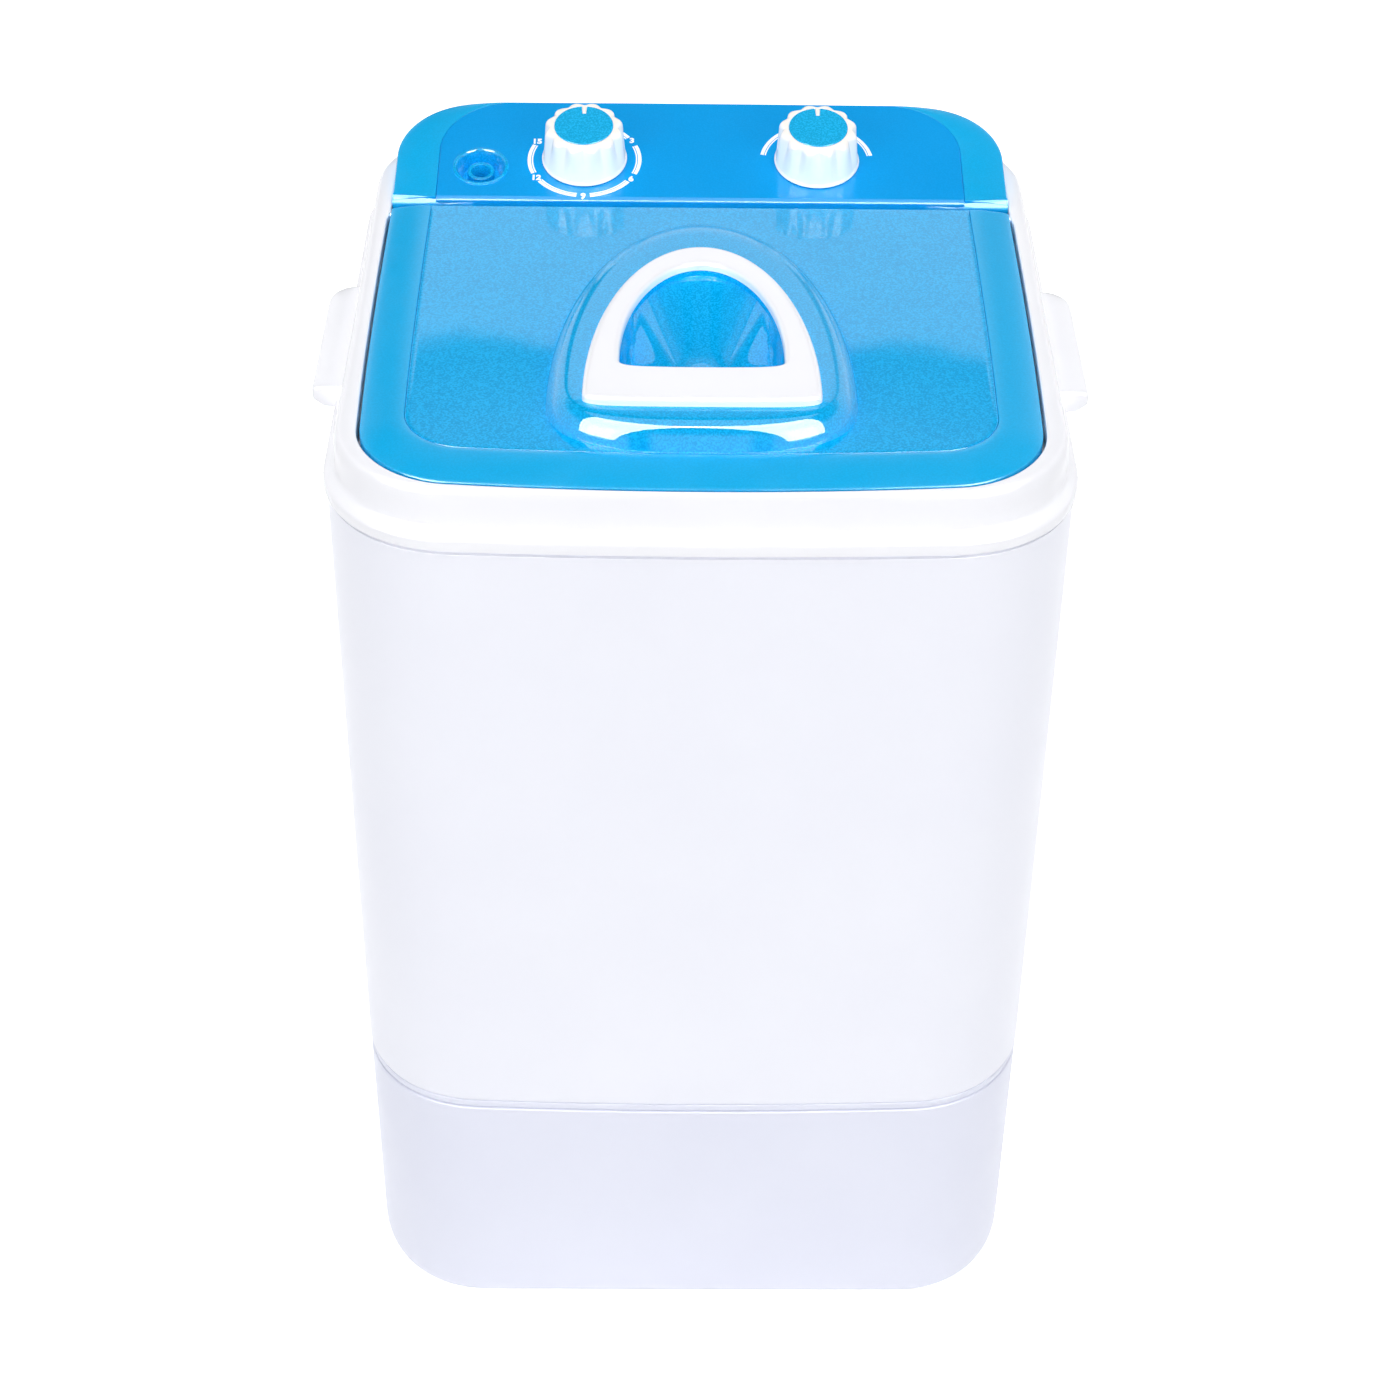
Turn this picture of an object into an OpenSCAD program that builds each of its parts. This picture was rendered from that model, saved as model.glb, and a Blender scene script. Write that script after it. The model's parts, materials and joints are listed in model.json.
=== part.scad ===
// Portable top load washing machine: a single wash tub with a pulsator,
// driven by a belt from a motor in the base. Sizes in millimetres, +Z up,
// the front faces -Y and the origin is on the floor under the middle.

/* [Body] */
// width across the cabinet
body_w = 360; // [330:1:440]
// depth of the cabinet
body_d = 364; // [345:1:440]
// height of the base housing, from the floor to the seam
base_h = 158; // [125:1:190]
// height of the cabinet shell
cabinet_h = 366; // [300:1:460]
// radius of the upright corners of the cabinet
corner_r = 62; // [52:1:72]
// wall of the moulded shells
shell_t = 2.8; // [2.2:0.1:3.4]
// how far the feet lift the base off the floor
foot_h = 4; // [3:0.5:8]

/* [Top frame] */
// height of the top frame above the cabinet
rim_h = 32; // [28:1:36]
// how far the flange of the top frame overhangs the cabinet
flange_over = 1.4; // [1:0.1:3]
// height of the open seam under the flange
seam_gap = 1.2; // [0.8:0.1:2]
// width of the rim beside the lid
rim_side = 15; // [13:0.5:20]
// width of the rim in front of the lid
rim_front = 9.4; // [9:0.1:14]
// gap between the lid and the rim
lid_gap = 2; // [1.5:0.1:3]
// length of each side grip
grip_l = 100; // [80:1:130]
// how far each side grip stands out past the cabinet
grip_out = 13; // [12:0.5:18]

/* [Lid] */
// height of the lid top above the rim
lid_proud = 2; // [1:0.5:4]
// width of the coloured border at the lid sides
border_side = 21.5; // [16:0.5:28]
// width of the coloured border at the lid front
border_front = 26.6; // [20:0.2:34]
// radius of the rolled rear edge that turns on the hinge pins
roll_r = 6; // [5.5:0.1:6.5]
// radius of the hinge pins
hinge_pin_r = 3; // [2.5:0.1:3.5]
// half width of the raised mound that carries the handle
mound_a = 75; // [66:1:85]
// half width of the handle ring
ring_a = 57; // [50:1:62]
// thickness of the handle ring
ring_t = 4.5; // [3.5:0.5:6]

/* [Control panel] */
// depth of the panel, from the hinge to the back of the cabinet
panel_d = 96.5; // [92:0.5:105]
// slope of the panel in degrees
panel_tilt = 12; // [8:0.5:14]
// distance of each knob from the middle
knob_x = 63; // [55:1:72]
// thickness of the printed inner facing
fascia_t = 1.2; // [1:0.1:1.6]

/* [Knobs] */
// radius of the knob skirt
knob_r = 23; // [21:0.5:26]
// height of the knobs
knob_h = 24; // [20:0.5:28]
// number of finger lobes round each knob
knob_lobes = 12; // [8:1:16]
// radius of the knob caps
cap_r = 15.8; // [14:0.2:18]
// radius of the control shafts
control_shaft_r = 3; // [2.5:0.1:3.5]

/* [Water inlet] */
// radius of the inlet cup
inlet_r = 13.5; // [12:0.5:15]
// radius of the bore of the inlet nozzle
nozzle_r = 5; // [4:0.5:6]

/* [Tub] */
// gap between the tub and the cabinet at the sides
tub_side = 22; // [20:1:40]
// radius of the upright corners of the tub
tub_r = 115; // [95:1:118]
// wall of the tub
tub_t = 2.6; // [2:0.1:3.2]
// radius of the dish that holds the pulsator
dish_r = 100; // [96:1:108]

/* [Pulsator] */
// radius of the pulsator
pulsator_r = 93; // [84:1:93]
// number of vanes on the pulsator
vanes = 6; // [4:1:8]

/* [Drive] */
// radius of the pulsator shaft
shaft_r = 7; // [6:0.5:8]
// radius of the driven pulley
driven_r = 62; // [56:1:66]
// radius of the motor pulley
motor_pulley_r = 14; // [12:1:16]
// distance between the two pulleys
belt_c = 135; // [130:1:140]
// half width of the motor
motor_a = 48; // [44:1:50]
// radius of the motor rotor
rotor_r = 30; // [26:1:32]

/* [Hidden] */
$fn = 64;
eps = 0.01;
run = 0.05;         // radial running clearance of a shaft in its hole
seam_h = 6;         // height of the joint between base and cabinet
base_in = 1.2;      // the base stands this far inside the cabinet outline
z_cab = base_h + seam_h;
z_c = z_cab + cabinet_h;
z_rim = z_c + rim_h;
z_lid = z_rim + lid_proud;
shelf_t = 3;
grip_h = 12.3;      // height of the side grips
grip_y0 = -0.6*grip_l;
grip_x = body_w/2 + flange_over + 0.2;   // inner side of the finger space
grip_wall = 2.8;
z_shelf = z_rim - 14.5;
well_w = body_w - 2*rim_side + 2*lid_gap;
well_d = body_d - 2*rim_front + 2*lid_gap;
lid_w = body_w - 2*rim_side;
lid_y0 = -body_d/2 + rim_front;
lid_r = corner_r - 5;
hinge_y = body_d/2 - panel_d;
hinge_z = z_lid - roll_r;
panel_y0 = hinge_y + roll_r + 0.8;
panel_z0 = z_lid + 1;
panel_y1 = body_d/2 - rim_front;
knob_y = panel_y0 + 32.2;
inlet_x = -(lid_w/2 - 46);
inlet_y = panel_y0 + 25.7;
skirt_z = z_lid - 14;
field_w = lid_w - 2*border_side;
field_y0 = lid_y0 + border_front;
field_t = 3.3;
bar_y0 = lid_y0 + 37;
mound_y = lid_y0 + 72.6;
mound_b = hinge_y - 17 - mound_y;
mound_tilt = 2.5;
mound_z = z_lid + 12.5;
ring_y = lid_y0 + 50;
ring_b = 151.5*mound_b/168.5;
eye_y = lid_y0 + 92.6;
eye_a = ring_a - 17;
eye_b = 77.5*mound_b/168.5;
pocket_z = z_lid - 9;
tub_w = body_w - 2*tub_side;
tub_y0 = -body_d/2 + 11;
tub_y1 = panel_y0 - 1.3;
tub_d = tub_y1 - tub_y0;
tub_y = (tub_y1 + tub_y0)/2;
tub_z = base_h + 26;
dish_z = tub_z - 8;
deck_z = base_h - 47;
deck_t = 3;
deck_x = 80;
post_y0 = tub_y - 65;
motor_y = tub_y + belt_c;
post_y1 = motor_y + 58;
belt_z = deck_z - 14;
motor_z = deck_z + deck_t + 3;
foot_x = body_w/2 - 55;
foot_y = body_d/2 - 55;
floor_z = foot_h;
floor_t = 3;
window_w = 150;
pipe_r = 10;
drain_x = -window_w/2 - 25;
drain_y = tub_y + 80;
drain_z = base_h - 75;
pipe_in = 7.5;
bend_r = 20;
over_y = tub_y1 + 14;
over_z = z_c - 47;
window_z0 = floor_z + 21;
window_z1 = base_h - 30;
y_back = body_d/2 - base_in;
gland_x = window_w/2 + 25;
screw_x = body_w/2 - 70;
capacitor_x = body_w/2 - 65;
cover_t = 1.4;      // thickness of the rear cover
head_h = 1.2;       // height of the pan heads at the rear
capacitor_y = motor_y - 5;
terminal_x = deck_x + 4;
hinge_pin_l = 11;
bolt_ring = motor_a*1.42;

// ---------- shared shapes ----------

module plan(w, d, r) {
  union() {
    square([w - 2*r, d], center = true);
    square([w, d - 2*r], center = true);
    for (x = [-1, 1]) for (y = [-1, 1])
      translate([x*(w/2 - r), y*(d/2 - r)]) circle(r);
  }
}

// carries a flat profile round a rounded rectangle; x = r is its outline
module swept(w, d, r) {
  for (a = [0, 1]) mirror([a, 0, 0]) {
    for (b = [0, 1]) mirror([0, b, 0])
      translate([w/2 - r, d/2 - r, 0]) rotate_extrude(angle = 90) children();
    translate([w/2 - r, d/2 - r, 0]) rotate([90, 0, 0])
      linear_extrude(d - 2*r) children();
  }
  for (b = [0, 1]) mirror([0, b, 0])
    translate([-w/2 + r, d/2 - r, 0]) rotate([90, 0, 90])
      linear_extrude(w - 2*r) children();
}

// a wall between two rounded rectangles
module plan_ring(w, d, r, t) {
  difference() {
    plan(w, d, r);
    plan(w - 2*t, d - 2*t, r - t);
  }
}

module tube(ro, ri, h) {
  difference() {
    cylinder(r = ro, h = h);
    translate([0, 0, -1]) cylinder(r = ri, h = h + 2);
  }
}

// outline of the handle pieces: rounded at the rear, squarer at the front
function pw(v, p) = sign(v)*pow(abs(v), p);
function dpts(a, b, c, n) = [for (i = [0:47]) let (t = i*7.5)
  [a*pw(cos(t), t < 180 ? 1 : 2/n), (t < 180 ? b : c)*pw(sin(t), t < 180 ? 1 : 2/n)]];

module dplan(y, a, b, c, n) {
  translate([0, y]) polygon(dpts(a, b, c, n));
}

// stands its children on the sloped panel, +Z out of the panel
module on_panel(x, y) {
  translate([x, y, panel_z0 + tan(panel_tilt)*(y - panel_y0)])
    rotate([panel_tilt, 0, 0]) children();
}

// slab of the panel slope between two heights above it
module panel_slab(z0, z1) {
  on_panel(0, panel_y0) translate([-body_w, -60, z0])
    cube([2*body_w, 320, z1 - z0]);
}

module pan_screw(r, head_r, head_h, l) {
  cylinder(r = r, h = l);
  translate([0, 0, -head_h]) cylinder(r = head_r, h = head_h);
}

// ---------- base ----------

base_w = body_w - 2*base_in;
base_d = body_d - 2*base_in;
base_r = corner_r - base_in;

module base_profile() {
  z1 = base_h - 1.2;
  translate([base_r, 0]) polygon([[-30, floor_z], [-8, floor_z],
    [-4.2, floor_z + 0.9], [-1.4, floor_z + 3.6], [0, floor_z + 8], [0, z1],
    [-1.6, z1 + 0.5], [-1.6, base_h + 0.6], [-0.3, base_h + 1],
    [-0.3, z_cab - 1], [-1.6, z_cab - 0.6], [-1.6, z_cab], [-2, z_cab],
    [-2, z_cab + 9], [-4.6, z_cab + 9], [-4.6, base_h - 2],
    [-shell_t, base_h - 5], [-shell_t, floor_z + 9], [-8, floor_z + floor_t],
    [-30, floor_z + floor_t]]);
}

module base_housing() {
  color([0.91, 0.92, 0.97]) difference() {
    union() {
      swept(base_w, base_d, base_r) base_profile();
      translate([0, 0, floor_z]) linear_extrude(floor_t)
        plan(base_w - 50, base_d - 50, base_r - 25);
      for (x = [-1, 1]) {
        for (y = [post_y0, post_y1])
          translate([x*(deck_x - 12), y, floor_z + 1])
            tube(9, 2.5, deck_z - floor_z - 1);
        for (y = [-1, 1]) translate([x*foot_x, y*foot_y, floor_z + 1])
          cylinder(r = 8, h = 11);
      }
    }
    for (x = [-1, 1]) for (y = [-1, 1])
      translate([x*foot_x, y*foot_y, floor_z - 1]) {
        cylinder(r = 2.5, h = 20);
        cylinder(r = 6, h = 1 + floor_t);
      }
    for (i = [-4:4]) translate([i*14 - 3, motor_y - 50, floor_z - 1])
      cube([6, 90, floor_t + 2]);
    translate([-window_w/2, y_back - 20, window_z0])
      cube([window_w, 30, window_z1 - window_z0]);
    for (x = [-1, 1]) for (z = [window_z0 - 7, window_z1 + 7])
      translate([x*(window_w/2 - 20), y_back - 10, z]) rotate([-90, 0, 0])
        cylinder(r = 1.8, h = 20);
    translate([drain_x, y_back - 10, drain_z]) rotate([-90, 0, 0])
      cylinder(r = pipe_r + 0.4, h = 20);
    translate([gland_x, y_back - 10, drain_z]) rotate([-90, 0, 0])
      cylinder(r = 8, h = 20);
    for (x = [-1, 0, 1]) translate([x*screw_x, y_back - 10, z_cab + 4.5])
      rotate([-90, 0, 0]) cylinder(r = 1.8, h = 20);
  }
}

module feet() {
  color([0.16, 0.16, 0.17]) for (x = [-1, 1]) for (y = [-1, 1])
    translate([x*foot_x, y*foot_y, 0]) difference() {
      union() {
        cylinder(r1 = 15.5, r2 = 17, h = 2);
        translate([0, 0, 2]) cylinder(r = 17, h = foot_h - 2);
        cylinder(r = 6, h = foot_h + floor_t);
      }
      translate([0, 0, -1]) cylinder(r = 2.5, h = 30);
      translate([0, 0, -1]) cylinder(r = 5.4, h = 2.8);
    }
}

module foot_screws() {
  color([0.7, 0.71, 0.73]) for (x = [-1, 1]) for (y = [-1, 1])
    translate([x*foot_x, y*foot_y, 1.8]) pan_screw(2.5, 4.8, 1, foot_h + 10);
}

module rear_cover() {
  color([0.88, 0.89, 0.94]) difference() {
    translate([-window_w/2 - 6, y_back, window_z0 - 13])
      cube([window_w + 12, cover_t, window_z1 - window_z0 + 26]);
    for (i = [-7:7]) translate([i*11 - 2, y_back - 1, window_z0 + 12])
      cube([4, 4, window_z1 - window_z0 - 24]);
    for (x = [-1, 1]) for (z = [window_z0 - 7, window_z1 + 7])
      translate([x*(window_w/2 - 20), y_back - 1, z]) rotate([-90, 0, 0])
        cylinder(r = 1.8, h = 6);
  }
}

module cover_screws() {
  color([0.75, 0.76, 0.78]) for (x = [-1, 1])
    for (z = [window_z0 - 7, window_z1 + 7])
      translate([x*(window_w/2 - 20), y_back + cover_t, z])
        rotate([90, 0, 0]) pan_screw(1.8, 3.6, head_h, 8);
}

// ---------- cabinet ----------

module cabinet_shell() {
  color([0.95, 0.95, 0.99]) difference() {
    translate([0, 0, z_cab]) linear_extrude(cabinet_h)
      plan_ring(body_w, body_d, corner_r, shell_t);
    for (x = [-1, 0, 1]) for (z = [z_cab + 4.5, z_c - 7])
      translate([x*screw_x, body_d/2 - 10, z]) rotate([-90, 0, 0])
        cylinder(r = 1.8, h = 20);
  }
}

module case_screws() {
  color([0.75, 0.76, 0.78]) for (x = [-1, 0, 1])
    for (z = [z_cab + 4.5, z_c - 7])
      translate([x*screw_x, body_d/2, z]) rotate([90, 0, 0])
        pan_screw(1.8, 3.6, head_h, 9);
}

// ---------- top frame ----------

module rim_profile() {
  f = flange_over;
  g = seam_gap;
  h = rim_h;
  translate([corner_r, z_c]) polygon([[f, g], [f, g + 5.6],
    [f - 0.4, g + 6.4], [-1.6, 9.3], [-4, 11.3], [-4.4, 12.6], [-4.4, h - 10],
    [-4.7, h - 6.5], [-5.4, h - 3], [-6.4, h - 0.9], [-8, h], [-8, h - 2.8],
    [-7.4, h - 3.4], [-6.9, h - 7], [-6.4, h - 12], [-6.4, 11.6], [-6, 10.6],
    [-3.6, 8.4], [f - 2.6, g + 5], [f - 2.6, g + 2.4], [-6, g + 2.4], [-6, -14],
    [-3.2, -14], [-3.2, 0], [-1, 0], [-1, g]]);
}

// space for the fingers inside a grip, open from below
module grip_space() {
  translate([grip_x, grip_y0 + 3, z_c - 10])
    cube([body_w/2 + grip_out - grip_wall - grip_x, grip_l - 14,
      10 + seam_gap + grip_h - grip_wall]);
}

module grip_block() {
  x0 = body_w/2 - 5;
  x1 = body_w/2 + grip_out;
  end_r = 12;
  difference() {
    translate([0, 0, z_c + seam_gap]) linear_extrude(grip_h) union() {
      translate([x0, grip_y0]) square([x1 - x0, grip_l - end_r]);
      translate([x0, grip_y0]) square([x1 - x0 - end_r, grip_l]);
      translate([x1 - end_r, grip_y0 + grip_l - end_r]) circle(end_r);
    }
    translate([x1, 0, z_c + seam_gap + 5.3]) rotate([0, 45, 0])
      translate([0, -grip_l, -40]) cube([40, 2*grip_l, 80]);
    grip_space();
  }
}

module top_frame() {
  color([0.99, 0.99, 1]) difference() {
    union() {
      swept(body_w, body_d, corner_r) rim_profile();
      translate([0, 0, z_rim - 2.8]) linear_extrude(2.8)
        plan(body_w - 16, body_d - 16, corner_r - 8);
      translate([0, 0, z_shelf - shelf_t])
        linear_extrude(z_rim - z_shelf + shelf_t - 0.1) plan(well_w + 5.2, well_d + 5.2, lid_r + 4.6);
      grip_block();
      mirror([1, 0, 0]) grip_block();
    }
    translate([0, 0, z_shelf]) linear_extrude(40)
      plan(well_w, well_d, lid_r + lid_gap);
    translate([0, tub_y, z_shelf - 10]) linear_extrude(20)
      plan(tub_w - 16, tub_d - 16, tub_r - 8);
    translate([-lid_w/2 + 20, panel_y0 + 5, z_shelf - 10])
      cube([lid_w - 40, panel_y1 - panel_y0 - 18, 20]);
    for (x = [-1, 1]) translate([x*well_w/2, hinge_y, hinge_z])
      rotate([0, 90, 0]) cylinder(r = hinge_pin_r, h = 8, center = true);
    grip_space();
    mirror([1, 0, 0]) grip_space();
    for (x = [-1, 0, 1]) translate([x*screw_x, body_d/2 - 12, z_c - 7])
      rotate([-90, 0, 0]) cylinder(r = 1.8, h = 10);
  }
}

module hinge_pins() {
  color([0.75, 0.76, 0.78]) for (x = [-1, 1])
    translate([x*(lid_w/2 - 0.5), hinge_y, hinge_z]) rotate([0, 90, 0])
      cylinder(r = hinge_pin_r, h = hinge_pin_l, center = true);
}

// ---------- control panel ----------

module panel_plan(inset) {
  intersection() {
    plan(lid_w - 2*inset, 2*panel_y1 - 2*inset, lid_r - 4 - inset);
    translate([-body_w, panel_y0 + inset]) square([2*body_w, body_d]);
  }
}

module fascia_plan(grow) {
  intersection() {
    plan(field_w + 2*grow - 4, 2*panel_y1 - 3 + 2*grow, 42 + grow);
    translate([-body_w, panel_y0 - 1]) square([2*body_w, body_d]);
  }
}

module control_panel() {
  color([0.02, 0.68, 0.93]) difference() {
    intersection() {
      translate([0, 0, z_shelf + 0.3]) linear_extrude(60) panel_plan(0);
      panel_slab(-80, 0);
    }
    intersection() {
      translate([0, 0, z_shelf - 5]) linear_extrude(60) panel_plan(shell_t);
      panel_slab(-90, -3);
    }
    intersection() {
      translate([0, 0, z_shelf]) linear_extrude(60) fascia_plan(0);
      panel_slab(-1, 5);
    }
    for (x = [-1, 1]) on_panel(x*knob_x, knob_y)
      translate([0, 0, -10]) cylinder(r = 5, h = 20);
    on_panel(inlet_x, inlet_y) translate([0, 0, -10])
      cylinder(r = inlet_r, h = 20);
  }
}

module panel_fascia() {
  color([0.02, 0.6, 0.93]) difference() {
    intersection() {
      translate([0, 0, z_shelf]) linear_extrude(60) intersection() {
        fascia_plan(-0.1);
        panel_plan(0);
      }
      panel_slab(-1, fascia_t - 1);
    }
    for (x = [-1, 1]) on_panel(x*knob_x, knob_y)
      translate([0, 0, -10]) cylinder(r = 5, h = 20);
    on_panel(inlet_x, inlet_y) translate([0, 0, -10])
      cylinder(r = inlet_r, h = 20);
  }
}

module dial_arc(a0, a1) {
  rotate([0, 0, a0]) rotate_extrude(angle = a1 - a0)
    translate([knob_r + 4.8, fascia_t - 1 + eps]) square([3, 0.15]);
}

module dial_marks() {
  color([1, 1, 1]) {
    on_panel(-knob_x, knob_y) for (i = [0:3])
      dial_arc(158 + 60*i - 1, 202 + 60*i + 1);
    on_panel(-knob_x, knob_y) dial_arc(38, 84);
    on_panel(knob_x, knob_y) dial_arc(10, 84);
    on_panel(knob_x, knob_y) dial_arc(96, 170);
  }
}

module water_inlet() {
  t = fascia_t - 1;
  color([0.08, 0.5, 0.9]) on_panel(inlet_x, inlet_y) rotate_extrude()
    polygon([[inlet_r, t], [inlet_r + 1.6, t], [inlet_r + 1.2, t + 0.6],
      [inlet_r - 0.2, t + 0.6], [inlet_r - 1.4, t - 1], [inlet_r - 2, -9],
      [nozzle_r + 2.4, -9], [nozzle_r + 2.4, -3.4], [nozzle_r + 1.8, -2.8],
      [nozzle_r + 0.6, -2.8], [nozzle_r, -3.6], [nozzle_r, -33],
      [nozzle_r + 2.3, -33], [nozzle_r + 2.3, -11], [inlet_r, -11]]);
}

module inlet_duct() {
  z0 = z_c - 5;
  y1 = inlet_y + 18;
  color([0.9, 0.92, 0.95]) difference() {
    translate([inlet_x - 15, 20, z0]) cube([30, y1 - 20, 14]);
    translate([inlet_x - 12.6, 10, z0 + 2.4]) cube([25.2, y1 - 12.4, 9.2]);
    translate([inlet_x, inlet_y + 6.4, z0]) cylinder(r = 10, h = 30);
    translate([0, tub_y, z0 - 5]) linear_extrude(30)
      plan(tub_w + 0.4, tub_d + 0.4, tub_r + 0.2);
  }
}

// a control unit under the panel, with a round hole for its shaft
module control_unit(a, depth) {
  difference() {
    union() {
      translate([-a, -a, -3 - depth]) cube([2*a, 2*a, depth]);
      translate([0, 0, -4]) cylinder(r = 4.8, h = 3.6);
    }
    translate([0, 0, -18]) cylinder(r = control_shaft_r + run, h = 30);
    for (s = [-1, 1]) translate([s*(a - 5), -a - 1, -4 - depth])
      cube([6, 2*a + 2, 6], center = false);
  }
}

module timer_unit() {
  color([0.85, 0.85, 0.82]) on_panel(-knob_x, knob_y) control_unit(22, 27);
}

module selector_switch() {
  color([0.85, 0.85, 0.82]) on_panel(knob_x, knob_y) control_unit(16, 22);
}

module control_shaft() {
  translate([0, 0, -17.5]) difference() {
    cylinder(r = control_shaft_r, h = 17.5 + knob_h - 7);
    translate([control_shaft_r - 0.8, -5, 22]) cube([5, 10, 40]);
  }
}

module timer_shaft() {
  color([0.72, 0.73, 0.75]) on_panel(-knob_x, knob_y) control_shaft();
}

module selector_shaft() {
  color([0.72, 0.73, 0.75]) on_panel(knob_x, knob_y) control_shaft();
}

module knob_body() {
  z0 = fascia_t - 1 + 0.6;
  lobe_r = 0.155*(cap_r + 3.2);
  difference() {
    union() {
      rotate_extrude() polygon([[0, z0], [knob_r, z0], [knob_r, z0 + 1.2],
        [knob_r - 0.8, z0 + 4], [cap_r + 5.2, z0 + 9], [cap_r + 2.8, knob_h],
        [0, knob_h]]);
      for (i = [0:knob_lobes - 1]) rotate([0, 0, (i + 0.5)*360/knob_lobes])
        translate([cap_r + 2.4, 0, z0 + 2]) cylinder(r = lobe_r, h = knob_h - z0 - 3);
    }
    translate([0, 0, knob_h - 1.6]) cap_recess();
    translate([0, 0, -1]) difference() {
      cylinder(r = cap_r - 1, h = knob_h - 4);
      cylinder(r = 6.5, h = knob_h);
    }
    translate([0, 0, -1]) difference() {
      cylinder(r = control_shaft_r, h = knob_h - 6);
      translate([control_shaft_r - 0.8, -5, 5.5]) cube([5, 10, 40]);
    }
  }
}

// the recess for the cap, with the pointer left standing
module cap_recess() {
  difference() {
    cylinder(r = cap_r, h = 5);
    translate([-1.2, cap_r - 6, -1]) cube([2.4, 8, 8]);
  }
}

module knob_cap() {
  translate([0, 0, knob_h - 1.6]) difference() {
    cylinder(r = cap_r, h = 2);
    translate([-1.2, cap_r - 6, -1]) cube([2.4, 8, 8]);
  }
}

module timer_knob() {
  color([0.98, 0.98, 1]) on_panel(-knob_x, knob_y) knob_body();
}

module timer_cap() {
  color([0.04, 0.7, 0.9]) on_panel(-knob_x, knob_y) knob_cap();
}

module selector_knob() {
  color([0.98, 0.98, 1]) on_panel(knob_x, knob_y) knob_body();
}

module selector_cap() {
  color([0.04, 0.7, 0.9]) on_panel(knob_x, knob_y) knob_cap();
}

// ---------- lid ----------

module lid_plan(inset) {
  intersection() {
    plan(lid_w - 2*inset, -2*lid_y0 - 2*inset, lid_r - inset);
    translate([-body_w, -body_d]) square([2*body_w, body_d + hinge_y]);
  }
}

module field_plan(grow) {
  intersection() {
    plan(field_w + 2*grow, -2*field_y0 + 2*grow, 28 + grow);
    translate([-body_w, -body_d]) square([2*body_w, body_d + hinge_y]);
  }
}

module pocket_plan(grow) {
  union() {
    dplan(eye_y, eye_a + grow, eye_b + grow, 13 + grow, 6);
    translate([-eye_a + 2 - grow, lid_y0 + 45 - grow])
      square([2*eye_a - 4 + 2*grow, 50 + grow]);
  }
}

module lid_cover() {
  color([0.02, 0.7, 0.93]) difference() {
    union() {
      hull() {
        translate([0, 0, z_lid - 3.2]) linear_extrude(eps) lid_plan(0);
        translate([0, 0, z_lid - 1.6]) linear_extrude(eps) lid_plan(2.5);
        translate([0, 0, z_lid - eps]) linear_extrude(eps)
          lid_plan(border_side - 3);
        translate([0, 0, z_lid - 6.5]) linear_extrude(eps) lid_plan(0);
      }
      translate([0, 0, skirt_z]) linear_extrude(9) difference() {
        lid_plan(0);
        lid_plan(2.6);
        translate([-body_w, hinge_y - 8]) square([2*body_w, 100]);
      }
      translate([-lid_w/2 + 0.4, hinge_y, hinge_z]) rotate([0, 90, 0])
        cylinder(r = roll_r, h = lid_w - 0.8);
    }
    for (x = [-1, 1]) translate([x*lid_w/2, hinge_y, hinge_z])
      rotate([0, 90, 0]) cylinder(r = hinge_pin_r + run, h = 14, center = true);
    translate([0, 0, z_lid - field_t]) linear_extrude(20) field_plan(0.1);
    translate([0, 0, z_lid - 20]) linear_extrude(20) pocket_plan(3);
  }
}

module lid_panel() {
  color([0.12, 0.62, 0.92]) difference() {
    union() {
      translate([0, 0, z_lid - field_t]) linear_extrude(field_t - 0.1)
        field_plan(0);
      hull() {
        translate([0, 0, z_lid - 0.5]) linear_extrude(eps)
          dplan(mound_y, mound_a, mound_b, 45, 2.9);
        translate([0, bar_y0, mound_z]) rotate([-mound_tilt, 0, 0])
          translate([0, -bar_y0, -eps]) linear_extrude(eps)
            dplan(mound_y, mound_a - 11, mound_b - 21, 34, 3.2);
      }
      translate([0, 0, pocket_z - 2.6]) linear_extrude(12) pocket_plan(2.6);
    }
    translate([0, 0, pocket_z]) linear_extrude(40)
      dplan(eye_y, eye_a, eye_b, 13, 6);
    translate([0, 0, pocket_z]) linear_extrude(16) pocket_plan(0);
    difference() {
      hull() {
        translate([0, 0, z_lid - field_t - 1]) linear_extrude(eps)
          dplan(mound_y, mound_a - 4, mound_b - 5, 41, 2.9);
        translate([0, bar_y0, mound_z - 3]) rotate([-mound_tilt, 0, 0])
          translate([0, -bar_y0, -eps]) linear_extrude(eps)
            dplan(mound_y, mound_a - 14, mound_b - 26, 31, 3.2);
      }
      translate([0, 0, pocket_z - 5]) linear_extrude(60) pocket_plan(2.6);
    }
    for (x = [-1, 1]) translate([x*lid_w/2, hinge_y, hinge_z])
      rotate([0, 90, 0]) cylinder(r = roll_r, h = 2*lid_w, center = true);
  }
}

module handle_ring() {
  color([1, 1, 1]) translate([0, bar_y0, mound_z]) rotate([-mound_tilt, 0, 0])
    translate([0, -bar_y0, 0]) linear_extrude(ring_t) difference() {
      dplan(ring_y, ring_a, ring_b, 13, 5);
      dplan(eye_y, eye_a, eye_b, 13, 6);
    }
}

module lid_buffers() {
  color([0.3, 0.3, 0.32]) for (x = [-1, 1]) for (y = [lid_y0 + lid_r + 8, 20])
    translate([x*(lid_w/2 - 3.4), y, z_shelf])
      cylinder(r = 3.2, h = skirt_z - z_shelf);
}

// ---------- tub ----------

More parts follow.
